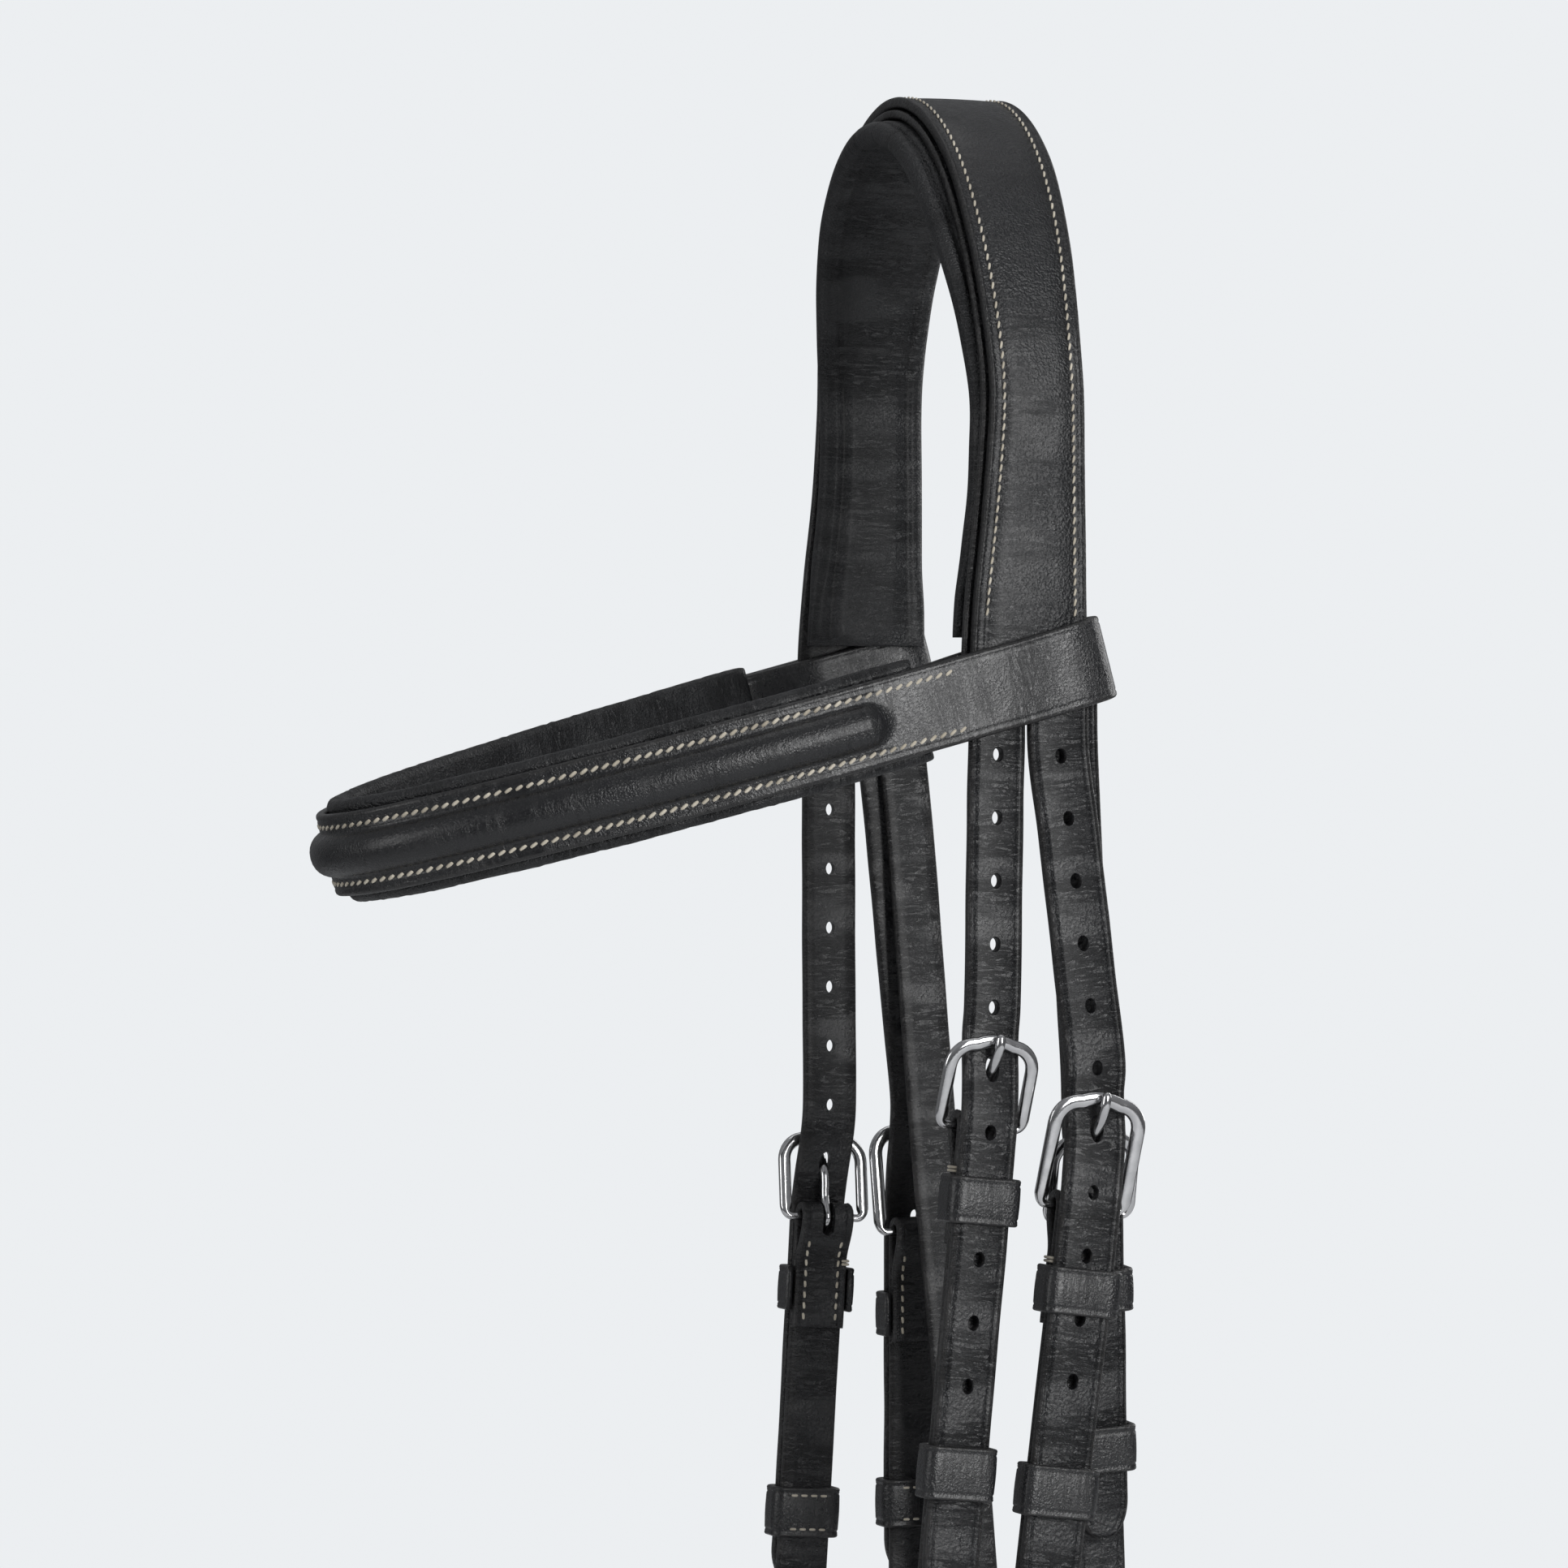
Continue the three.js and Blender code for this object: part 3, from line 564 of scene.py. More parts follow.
def thread_material():
    """Waxed cream linen thread, two plies twisted together and a little soiled."""
    nodes = Nodes("cream_linen_thread")
    place = nodes.add("ShaderNodeTexCoord")
    body = nodes.stretched(place.outputs["Object"], (1000, 1000, 1000))
    soil = nodes.noise(body, 0.12, 2.0)
    fibre = nodes.noise(body, 7.0, 2.0)
    clean = (0.62, 0.57, 0.47, 1)
    soiled = (0.36, 0.32, 0.25, 1)
    shade = nodes.mix(nodes.remap(soil, 0.35, 0.7, 0.0, 1.0), clean, soiled)
    nodes.tree.links.new(shade, nodes.shader.inputs["Base Color"])
    nodes.tree.links.new(nodes.bump(fibre, 0.0001, 0.6), nodes.shader.inputs["Normal"])
    nodes.shader.inputs["Roughness"].default_value = 0.75
    nodes.shader.inputs["Sheen Weight"].default_value = 0.3
    return nodes.material


def steel_material():
    """Polished stainless steel with faint handling marks."""
    nodes = Nodes("polished_stainless_steel")
    place = nodes.add("ShaderNodeTexCoord")
    body = nodes.stretched(place.outputs["Object"], (1000, 1000, 1000))
    smear = nodes.noise(body, 0.25, 3.0)
    scratch = nodes.noise(nodes.stretched(body, (0.6, 6.0, 2.5)), 1.4, 4.0)
    tint = nodes.mix(nodes.remap(smear, 0.3, 0.7, 0.0, 1.0), (0.66, 0.66, 0.665, 1), (0.52, 0.52, 0.53, 1))
    nodes.tree.links.new(tint, nodes.shader.inputs["Base Color"])
    nodes.tree.links.new(nodes.remap(smear, 0.3, 0.75, 0.08, 0.2), nodes.shader.inputs["Roughness"])
    nodes.tree.links.new(nodes.bump(scratch, 0.00004, 0.2), nodes.shader.inputs["Normal"])
    nodes.shader.inputs["Metallic"].default_value = 1.0
    return nodes.material


OUTER = leather("black_bridle_leather", (0.0055, 0.0057, 0.0067, 1), (0.018, 0.0165, 0.016, 1), 0.32)
CROWN = leather("fine_grained_black_leather", (0.0050, 0.0053, 0.0064, 1), (0.016, 0.015, 0.0145, 1), 0.34,
                grain=0.9, wrinkle=0.2, coat=0.1, cell=0.7)
SMOOTH = leather("smooth_black_leather", (0.0050, 0.0052, 0.0062, 1), (0.016, 0.015, 0.0145, 1), 0.30,
                 grain=0.55, wrinkle=0.2, coat=0.2, cell=0.6)
LINING = leather("soft_black_lining", (0.0060, 0.0063, 0.0073, 1), (0.012, 0.012, 0.0125, 1), 0.40,
                 grain=1.1, wrinkle=1.0, coat=0.05, cell=0.6)
THREAD = thread_material()
STEEL = steel_material()


# Headpiece: layers that follow the crown arch and hang down its legs
STRAP_FRONT = [(0, -13.3), (34, -12.5), (80, -10.1), (105, -11.9), (138, -15.6), (169, -16.4)]
STRAP_REAR = [(0, 16.8), (60, 14.8), (169, 16.0)]
PAD_FRONT = [(0, -21.9), (34, -18.8), (80, -12.2), (105, -13.2), (138, -17), (150, -17)]
PAD_REAR = [(0, 18.5), (60, 16.3), (150, 16.8)]
BACKING_REAR = [(0, -6.0), (90, -2.0), (150, 0.5)]
THROAT_MIDDLE = 13.0
THROAT_WIDTH = 14.0
THROAT_DEPTH = HEAD_THICKNESS + GAP
PAD_DEPTH = THROAT_DEPTH + THROAT_THICKNESS + GAP
HEAD_MIDDLE = ARCH_HALF_WIDTH - HEAD_THICKNESS / 2


def crown_path(depth, end_drop):
    """Far foot, over the crown, near foot, at a depth under the outer face."""
    points = []
    for drop in np.linspace(end_drop, ARCH_HEIGHT, 24)[:-1]:
        points.append((0, ARCH_HALF_WIDTH - depth, down(drop)))
    for turn in np.linspace(0, math.pi, 120):
        normal = unit(np.array([math.cos(turn) / ARCH_HALF_WIDTH, math.sin(turn) / ARCH_HEIGHT]))
        y = ARCH_HALF_WIDTH * math.cos(turn) - normal[0] * depth
        z = down(ARCH_HEIGHT) + ARCH_HEIGHT * math.sin(turn) - normal[1] * depth
        points.append((0, y, z))
    for drop in np.linspace(ARCH_HEIGHT, end_drop, 24)[1:]:
        points.append((0, depth - ARCH_HALF_WIDTH, down(drop)))
    return Path(points, smooth=False)


def drop_at(path, run):
    return CROWN_TOP - path.at(run)[2]


def headpiece():
    path = crown_path(HEAD_THICKNESS / 2, JOIN_DROP)

    def edges(run):
        drop = drop_at(path, run)
        return profile(STRAP_FRONT, drop, 9), profile(STRAP_REAR, drop, 9)

    section = strap_section(edges, HEAD_THICKNESS, path.length, SEAM, dome=0.35)
    leather_piece = sweep("headpiece_leather", path, X_AXIS, section, wobble=0.25)
    strap = finish_piece(leather_piece, CROWN)
    ride(strap, "head", "headpiece_strap")
    stitches = []
    inset = 3.4
    stitch_end = 15.0
    height = HEAD_THICKNESS / 2 - 0.12
    for edge, sign in ((0, 1), (1, -1)):
        stitches += stitch_row(path, X_AXIS, lambda run: edges(run)[edge] + sign * inset, height,
                               stitch_end, path.length - stitch_end, pitch=2.6, slant=-14)
    ride(thread("headpiece_stitching", stitches), "head")


def pad_ring(left, right, half, seam_side):
    """Section of the padding: a cushion rolled at both edges under a thin lining layer."""
    ring = []
    roll = half * 0.98
    for turn in np.linspace(math.pi * 1.0, math.pi * 0.5, 6):
        ring.append((left + roll + roll * math.cos(turn), roll * math.sin(turn) * 0.92, 0.0))
    seam = left + seam_side
    ring.append((seam - 0.7, half * 0.86, 0.0))
    ring.append((seam, half * 0.42, 1.0))
    ring.append((seam + 0.5, half * 0.8, 0.0))
    ring.append((seam + 1.2, half * 0.98, 0.0))
    for part in (0.3, 0.5, 0.7):
        ring.append((left + (right - left) * part, half, 0.0))
    for turn in np.linspace(math.pi * 0.5, 0, 6):
        ring.append((right - roll + roll * math.cos(turn), roll * math.sin(turn) * 0.96, 0.0))
    for turn in np.linspace(0, -math.pi * 0.5, 6)[1:]:
        ring.append((right - roll + roll * math.cos(turn), roll * math.sin(turn), 0.0))
    groove = right - 5.2
    ring.append((groove + 0.9, -half * 0.97, 0.0))
    ring.append((groove, -half * 0.8, 1.0))
    ring.append((groove - 0.9, -half * 0.97, 0.0))
    for part in (0.7, 0.6, 0.5, 0.4, 0.3):
        ring.append((left + (right - left) * part, -half * (0.99 + 0.02 * math.cos(part * 7)), 0.0))
    groove = left + 5.6
    ring.append((groove + 0.9, -half * 0.97, 0.0))
    ring.append((groove, -half * 0.8, 1.0))
    ring.append((groove - 0.9, -half * 0.97, 0.0))
    for turn in np.linspace(-math.pi * 0.5, -math.pi, 6)[:-1]:
        ring.append((left + roll + roll * math.cos(turn), roll * math.sin(turn), 0.0))
    return ring


def headpiece_pad():
    """The padding's outer face steps inward at its feet to pass inside the browband loops."""
    path = crown_path(PAD_DEPTH + PAD_THICKNESS / 2, 142.5)

    def section(run):
        drop = drop_at(path, run)
        left = profile(PAD_FRONT, drop, 8)
        right = profile(PAD_REAR, drop, 8)
        recess = (BAND_THICKNESS + GAP) * smooth_step(drop, 120, 134)
        end = min(run, path.length - run, 4.0)
        full = (PAD_THICKNESS - recess) / 2 - 0.1
        half = full * (0.4 + 0.6 * math.sqrt(1 - (1 - end / 4.0) ** 2))
        ring = pad_ring(left, right, half, 4.2)
        return [(across, height - recess / 2, edge) for across, height, edge in ring]

    pad = sweep("headpiece_padding", path, X_AXIS, section, wobble=0.3, step=1.8, seed=3)
    finish_piece(pad, LINING)
    ride(pad, "head", "headpiece_pad")


def headpiece_backing():
    """The thin layer beside the throat strap that fills the gap under the headpiece leather."""
    path = crown_path(THROAT_DEPTH + THROAT_THICKNESS / 2, 148.0)

    def edges(run):
        drop = drop_at(path, run)
        return profile(STRAP_FRONT, drop, 9) - 1.2, profile(BACKING_REAR, drop, 9)

    section = strap_section(edges, THROAT_THICKNESS, path.length)
    ride(finish_piece(sweep("headpiece_backing", path, X_AXIS, section), OUTER), "head")


def throat_crown():
    path = crown_path(THROAT_DEPTH + THROAT_THICKNESS / 2, JOIN_DROP)

    def edges(run):
        shift = profile([(0, -10.3), (90, -6.3), (137, -4), (158, -0.4), (169, 0)], drop_at(path, run), 5)
        return THROAT_MIDDLE - THROAT_WIDTH / 2 + shift, THROAT_MIDDLE + THROAT_WIDTH / 2 + shift

    section = strap_section(edges, THROAT_THICKNESS, path.length)
    strap = sweep("throat_strap_over_crown", path, X_AXIS, section)
    ride(finish_piece(strap, OUTER), "head", "throat_strap_crown")


# Browband and noseband: padded, rolled bands in tilted planes
def tilted(tilt, drop):
    """Puts a point of a tilted plane in place."""

    def place(x, y, z=0.0):
        return np.array([
            x * math.cos(tilt) + z * math.sin(tilt),
            y,
            z * math.cos(tilt) - x * math.sin(tilt) + down(drop),
        ])

    return place


def half_ellipse(x, reach, half_width, steps):
    turns = np.linspace(0, math.pi / 2, steps + 1)
    return [(x - reach * math.sin(turn), half_width * math.cos(turn)) for turn in turns]


def mirrored(outline):
    return outline + [(x, -y) for x, y in outline[-2::-1]]


BAND_COLUMNS = [-9.4, -8.9, -8.4, -7.9, -7.4, -6.9, -6.3, -5.7, -5.2, -4.6, -3.8, -2.8, -1.5, 0.0]


def rolled_section(width, length, bare, roll_half=5.0, roll_height=4.0):
    """A strap whose outer face carries a padded roll that stops short of both ends."""
    half_width = width / 2
    columns = BAND_COLUMNS + [-across for across in BAND_COLUMNS[-2::-1]]
    columns = [across * width / 21.4 for across in columns]

    def section(run):
        from_end = min(run, length - run)
        swell = smooth_step(from_end, bare - 1, bare + 6)
        narrow = 0.45 + 0.55 * swell
        end = min(from_end, 1.3)
        half = BAND_THICKNESS / 2 * (0.45 + 0.55 * math.sqrt(1 - (1 - end / 1.3) ** 2))

        def top(across):
            part = abs(across) / (roll_half * max(narrow, 0.2) * 1.1)
            roll = roll_height * swell * max(1 - part**2.2, 0.0) ** 0.62 if part < 1 else 0.0
            seam = -0.35 * swell * max(0.0, 1 - abs(abs(across) - 7.4 * width / 21.4) / 0.6)
            crease = -0.16 * max(0.0, 1 - abs(abs(across) - 8.9 * width / 21.4) / 0.5)
            return roll + seam + crease

        return strap_ring(-half_width, half_width, half, 0.9 * half / 1.3, columns, top)

    return section


def band_pad_ring(half_height, half):
    """Section of a band's padding: soft rolls above and below, seamed to the band."""
    ring = []
    for sign in (-1, 1):
        turns = np.linspace(-90, -270, 10) if sign < 0 else np.linspace(90, -90, 10)
        for turn in turns:
            roll = math.radians(turn)
            ring.append((sign * (half_height - half) + half * math.cos(roll), half * math.sin(roll), 0.0))
        if sign < 0:
            ring.append((2.6 - half_height + half, half * 0.55, 1.0))
            ring.append((-3.0, half * 0.6, 0.0))
            ring.append((3.0, half * 0.6, 0.0))
            ring.append((half_height - half - 2.6, half * 0.55, 1.0))
    for part in (0.6, 0.2, -0.2, -0.6):
        ring.append((part * half_height, -half * 0.9, 0.0))
    return ring


def band_pad(name, path, across_axis, start, end, half_height, inward, seed):
    """Soft padding behind a band, between two runs of its path."""
    half = 2.4
    length = end - start

    def section(run):
        from_end = min(run - start, end - run, 4.0)
        scale = 0.35 + 0.65 * math.sqrt(max(1 - (1 - from_end / 4.0) ** 2, 0.0))
        ripple = 0.22 * noise(Vector((run * 0.55, seed, 0)))
        ring = band_pad_ring((half_height + ripple) * (0.94 + 0.06 * scale), half * scale)
        return [(side, height - inward, edge) for side, height, edge in ring]

    runs = [start + share for share in (0, 0.2, 0.6, 1.2, 2.0, 3.0)]
    runs += list(np.linspace(start + 4, end - 4, int(length / 1.5)))
    runs += [end - share for share in (3.0, 2.0, 1.2, 0.6, 0.2, 0)]
    pad = sweep(name, path, across_axis, section, wobble=0.3, runs=runs, seed=seed)
    finish_piece(pad, LINING)
    return pad


def browband():
    place = tilted(BROW_TILT, LOOP_DROP)
    across_axis = place(0, 0, 1) - place(0, 0, 0)
    inner = ARCH_HALF_WIDTH - PAD_DEPTH - BAND_THICKNESS / 2
    outer = ARCH_HALF_WIDTH + GAP + BAND_THICKNESS / 2
    back = 23 - BAND_THICKNESS / 2
    loop = [(-33, outer - 3.2), (-26, outer - 4.2), (-20, inner + 2.6), (-13, inner + 0.4), (-6, inner)]
    loop += [(6, inner), (back - 5.2, inner + 0.1), (back - 1.5, inner + 1.4), (back, inner + 4.6)]
    loop += [(back - 0.5, outer - 3.4), (back - 2.6, outer - 1.2), (back - 6.4, outer)]
    loop += [(4, outer), (-8, outer)]
    outline = mirrored(loop + half_ellipse(-17, 153.5, outer, 12))
    path = Path([place(x, y) for x, y in outline])
    loop_path = Path([place(x, y) for x, y in loop + [(-17, outer)]])
    bare = loop_path.length + 23.5
    section = rolled_section(21.4, path.length, bare)
    band = sweep("browband_leather", path, across_axis, section, step=1.5, wobble=0.2, seed=5)
    ride(finish_piece(band, SMOOTH), "head", "browband_strap")
    first = loop_path.length + 4.0
    stitches = []
    for side in (-7.4, 7.4):
        stitches += stitch_row(path, across_axis, side, BAND_THICKNESS / 2 - 0.1, first,
                               path.length - first, pitch=2.75, slant=27)
    ride(thread("browband_stitching", stitches, length=2.5, radius=0.42), "head")
    pad_start = loop_path.length + 13
    pad = band_pad("browband_padding", path, across_axis, pad_start, path.length - pad_start, 13.4, 4.25, 7)
    ride(pad, "head", "browband_pad")


NEAR_BAND_END = (24, -53.6)
FAR_BAND_END = (42, 46)


def noseband():
    place = tilted(NOSE_TILT, NOSE_DROP)
    across_axis = place(0, 0, 1) - place(0, 0, 0)
    front = mirrored(half_ellipse(3, 112, 60.4, 10))
    outline = [FAR_BAND_END, (24, 53.6), *front, (11.5, -58.1), NEAR_BAND_END]
    path = Path([place(x, y) for x, y in outline])
    bare = path.length * 0.26
    section = rolled_section(23.6, path.length, bare)
    band = sweep("noseband_leather", path, across_axis, section, step=1.6, wobble=0.2, seed=11)
    ride(finish_piece(band, SMOOTH), "head", "noseband_strap")
    stitches = []
    for side in (-8.2, 8.2):
        stitches += stitch_row(path, across_axis, side, BAND_THICKNESS / 2 - 0.1, bare - 24,
                               path.length - bare + 24, pitch=2.75, slant=27)
    ride(thread("noseband_stitching", stitches, length=2.5, radius=0.42), "head")
    start, end = path.length * 0.165, path.length * 0.93
    pad = band_pad("noseband_padding", path, across_axis, start, end, 16.0, 4.25, 13)
    ride(pad, "head", "noseband_pad")
    return place


# Buckled units. Each has its own axes: across the strap, out from the horse, and up
# along the strap from the middle of its heel bar, all read off its two joints.
JOINTS = {joint["name"]: joint for joint in frame["joints"]}

FRONT = {"width": 15.0, "buckle": SMALL_BUCKLE, "holes": 11, "keeper_height": 12.0, "runner_height": 13.5}
REAR = {"width": 16.4, "buckle": LARGE_BUCKLE, "holes": 11, "keeper_height": 12.0, "runner_height": 13.0}
UNITS = {
    "near_cheek": {**FRONT, "start": -8.8, "length": 222, "tip": 119, "tongue_in": 6,
                   "keeper": 18.3, "runner": 87},
    "near_nose": {**REAR, "start": 8.0, "length": 147, "tip": 98, "tongue_in": 7,
                  "keeper": 21.1, "runner": 71.8, "slack": -0.8},
    "far_cheek": {**FRONT, "start": -7.2, "length": 191, "tip": 100, "tongue_in": 8,
                  "keeper": 19.5, "runner": 80},
    "far_nose": {**REAR, "start": 9.6, "length": 133, "tip": 94, "tongue_in": 8,
                 "keeper": 22.5, "runner": 74},
    "throat": {"width": 14.0, "buckle": SMALL_BUCKLE, "holes": 9, "keeper_height": 11.0,
               "runner_height": 12.0, "length": 34, "tip": 82, "tongue_in": 7, "keeper": 18, "runner": 59},
    "chin": {"width": 14.0, "buckle": SMALL_BUCKLE, "holes": 6, "keeper_height": 8.0,
             "runner_height": 8.0, "length": 46, "tip": 42, "tongue_in": 4, "keeper": 15, "runner": 26.5},
}


class Unit:
    """A buckle with its straps, placed by its tongue's hinge and its runner's slide."""

    def __init__(self, prefix):
        self.prefix = prefix
        self.size = UNITS[prefix]
        self.buckle = self.size["buckle"]
        turn = JOINTS[f"{prefix}_tongue_turn"]
        slide = JOINTS[f"{prefix}_runner_slide"]
        self.body = turn["parent"]
        self.origin = np.array(turn["pos_m"]) / MM
        self.across = unit(np.array(turn["axis"], float))
        self.up = -unit(np.array(slide["axis"], float))
        self.out = unit(np.cross(self.across, self.up))

    def place(self, across, out, up):
        return self.origin + self.across * across + self.out * out + self.up * up

    def locate(self, point):
        """Across, out and up of a point in the object's own frame."""
        away = np.array(point, float) - self.origin
        return np.array([away @ self.across, away @ self.out, away @ self.up])

    def ride(self, obj, material, slot, node=None):
        finish_piece(obj, material)
        return ride(obj, self.body, *([node] if node else []))


def arc(centre_out, centre_up, radius, start, end, steps=14):
    """Points (out, up) of an arc, in degrees from outward towards up."""
    turns = np.radians(np.linspace(start, end, steps))
    return [(centre_out + radius * math.cos(t), centre_up + radius * math.sin(t)) for t in turns]


def eased(start, end, steps=10):
    """Points (out, up) from start to end, leaving and arriving along the strap."""
    shares = np.linspace(0, 1, steps)
    return [
        (start[0] + (end[0] - start[0]) * smooth_step(share, 0, 1), start[1] + (end[1] - start[1]) * share)
        for share in shares
    ]


def folded_line(turn_end, bit_loop, foot_up):
    """Side view of a strap folded round its heel bar, from its turned-back end down."""
    line = [(BACK_MIDDLE, turn_end), (BACK_MIDDLE, -12.0)]
    wrap = arc(0, 0, FOLD_MIDDLE, 200, 0, 18)
    line += eased((BACK_MIDDLE, -12.0), wrap[0])[1:-1] + wrap
    if not bit_loop:
        return line + [(FOLD_MIDDLE, foot_up)]
    radius = BIT_LOOP_INNER + STRAP_THICKNESS / 2
    centre = FOLD_MIDDLE - radius
    foot = arc(centre, foot_up, radius, 0, -205, 20)
    line += [(FOLD_MIDDLE, foot_up + 30)] + foot
    line += eased(foot[-1], (BACK_MIDDLE, foot_up + 14))[1:]
    return line + [(BACK_MIDDLE, foot_up + 42)]


def box_cutter(gear, across, out, up, half_across, half_out, half_up):
    """A slot with round ends, cut right through towards the horse."""
    at = gear.place(across, out, up)
    vertices = []
    sides = 20
    for level in (-half_out, half_out):
        for k in range(sides):
            turn = 2 * math.pi * k / sides
            reach = math.copysign(half_up - half_across, math.sin(turn)) if math.sin(turn) else 0.0
            vertices.append(
                at
                + gear.out * level
                + gear.across * half_across * math.cos(turn)
                + gear.up * (half_across * math.sin(turn) + reach)
            )
    faces = quads_between(2, sides, closed=False)
    faces += [tuple(range(sides)), tuple(range(2 * sides - 1, sides - 1, -1))]
    return make_mesh("cutter", vertices, faces)


def tail_edges(width, length, tip):
    """Edges of a strap whose last stretch rounds in to a tip."""

    def edges(run):
        left = max(length - run, 0.0)
        part = min(left / tip, 1.0)
        half = width / 2 * (0.2 + 0.8 * math.sqrt(1 - (1 - part) ** 2))
        return -half, half

    return edges


def folded_strap(gear, name, node, turn_end=-30.0, bit_loop=False):
    size = gear.size
    width = size["width"] - 0.4
    line = folded_line(turn_end, bit_loop, -size["length"])
    path = Path([gear.place(0, out, up) for out, up in line], smooth=False)
    section = strap_section(lambda run: (-width / 2, width / 2), STRAP_THICKNESS, path.length)
    strap = sweep(name, path, gear.across, section, step=1.3, wobble=0.08, seed=len(name))
    cutters = [box_cutter(gear, 0, 0, 0.6, 1.7, 7.0, 5.4)]
    if bit_loop:
        cutters.append(box_cutter(gear, 0, 2, STUD_UP - size["length"], 1.6, 6.0, 1.65))
    cut(strap, cutters, touches_itself=bit_loop)
    gear.ride(strap, OUTER, "strap_leather", node)
    fold_stitches(gear, path, turn_end)


def fold_stitches(gear, path, turn_end):
    """Two rows that hold the turned-back end, showing on the side towards the horse."""
    width = gear.size["width"] - 0.4
    height = STRAP_THICKNESS / 2 - 0.1
    stitches = []
    for side in (-1, 1):
        stitches += stitch_row(path, gear.across, side * (width / 2 - 2.7), height,
                               1.6, -turn_end - 5.2, pitch=2.9, slant=6 * side)
    obj = thread(f"{gear.prefix}_fold_stitching", stitches, length=2.0, radius=0.34)
    ride(obj, gear.body)


def point_heights(gear):
    """Height of a point's middle above the bar plane, by distance above the heel bar."""
    clear = FRAME_TIP_OUT - BAR_HALF - GAP - POINT_THICKNESS / 2 - 1.3
    rise = gear.buckle["rise"]
    return [(-200, POINT_RISE), (0, POINT_RISE), (4, POINT_RISE - 0.1), (gear.buckle["hole"] - 1, 3.6),
            (rise, clear - 0.1), (rise + 18, 0.8), (400, 0.8)]


def point_line(gear, start):
    """The way of a point: from its start down to its buckle and over the folded strap."""
    rise, hole = gear.buckle["rise"], gear.buckle["hole"]
    heights = point_heights(gear)
    slack = gear.size.get("slack", 0.0)
    shoulder = gear.place(slack, profile(heights, rise + 8), rise + 8)
    start = np.array(start, float)
    line = [start + Z_AXIS * (FLEX_DROP - JOIN_DROP - 1), start]
    line += [start + (shoulder - start) * part for part in (0.25, 0.5, 0.75)]
    shifts = [(0, 0), (hole, 0), (rise + 4, slack), (rise + 8, slack)]
    for up in (rise + 8, rise + 2, rise - 4, hole - 1, 8, 2, -6, -25):
        line.append(gear.place(profile(shifts, up), profile(heights, up), up))
    tip = gear.size["tip"]
    return line + [gear.place(0, POINT_RISE, -tip / 2 - 12), gear.place(0, POINT_RISE, -tip)]


def run_where_up(gear, path, up, after=0.0):
    for run in np.arange(after, path.length, 0.1):
        if gear.locate(path.at(run))[2] <= up:
            return run
    return path.length


def punch(gear, strap, path, tongue_run):
    """Punches the row of oval holes and draws the used one long."""
    size = gear.size
    cutters = []
    for k in range(1, size["holes"] + 1):
        run = tongue_run + (k - size["tongue_in"]) * HOLE_PITCH
        if run < 18 or run > path.length - 8:
            continue
        at, out, across = path.frame_at(run, gear.across)
        along = np.cross(across, out)
        used = k == size["tongue_in"]
        cutters.append(hole_cutter(at, along, out, 3.3 if used else 1.7, 1.6 if used else 1.25))
    cut(strap, cutters)


def strap_point(gear, name, node, start, parent):
    """A point that hangs from inside the browband loop and is buckled up."""
    path = Path(point_line(gear, start))
    edges = tail_edges(gear.size["width"], path.length, 10)
    section = strap_section(edges, POINT_THICKNESS, path.length, dome=0.3)
    strap = sweep(name, path, gear.across, section, step=1.4, wobble=0.22, seed=len(node) * 1.3)
    punch(gear, strap, path, run_where_up(gear, path, gear.buckle["hole"]))
    finish_piece(strap, OUTER)
    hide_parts(node)
    if gear.body == parent:
        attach(strap, parent)
        return
    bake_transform(strap)


def keeper_outline(gear, closed):
    """Middle line (across, out) of the leather round a strap and its point."""
    half = gear.size["width"] / 2 + GAP + KEEPER_LEATHER / 2
    inside = POINT_RISE + POINT_THICKNESS / 2 + GAP
    front = inside + KEEPER_LEATHER / 2
    radius = 2.0
    corners = []
    for centre, start in (((-half + radius, front - radius), 180), ((half - radius, front - radius), 90)):
        for turn in np.radians(np.linspace(start, start - 90, 7)):
            corners.append((centre[0] + radius * math.cos(turn), centre[1] + radius * math.sin(turn)))
    if not closed:
        return [(-half, 0.35), (-half, 3.0)] + corners + [(half, 3.0), (half, 0.35)]
    back = FOLD_INNER - GAP - KEEPER_LEATHER / 2
    for centre, start in (((half - radius, back + radius), 0), ((-half + radius, back + radius), -90)):
        for turn in np.radians(np.linspace(start, start - 90, 7)):
            corners.append((centre[0] + radius * math.cos(turn), centre[1] + radius * math.sin(turn)))
    return corners


def keeper_section(height):
    """Section of keeper leather: creased near both edges, a little bowed."""
    half = height / 2
    lines = [(1.7, 0.2, 0.45)]

    def section(run):
        columns = [-half + step for step in (0.9, 1.25, 1.7, 2.15, 2.6)]
        columns += [-1.0, 1.0] + [-column for column in reversed(columns)]

        def top(across):
            return 0.12 - 0.3 * (across / half) ** 2 + pressed(across, -half, half, lines)

        return strap_ring(-half, half, KEEPER_LEATHER / 2, 0.7, columns, top)

    return section


def fixed_keeper(gear):
    size = gear.size
    outline = keeper_outline(gear, closed=False)
    path = Path([gear.place(across, out, -size["keeper"]) for across, out in dense(outline)], smooth=False)
    section = keeper_section(size["keeper_height"])
    keeper = sweep(f"{gear.prefix}_keeper_leather", path, gear.up, section, step=1.0, wobble=0.1, seed=2)
    gear.ride(keeper, SMOOTH, "strap_leather", f"{gear.prefix}_keeper")


def dense(outline, step=0.8):
    """The same line with points no further apart than a step."""
    points = []
    for first, second in zip(outline, outline[1:]):
        first, second = np.array(first, float), np.array(second, float)
        count = max(int(np.linalg.norm(second - first) / step), 1)
        points += [first + (second - first) * k / count for k in range(count)]
    return points + [np.array(outline[-1], float)]


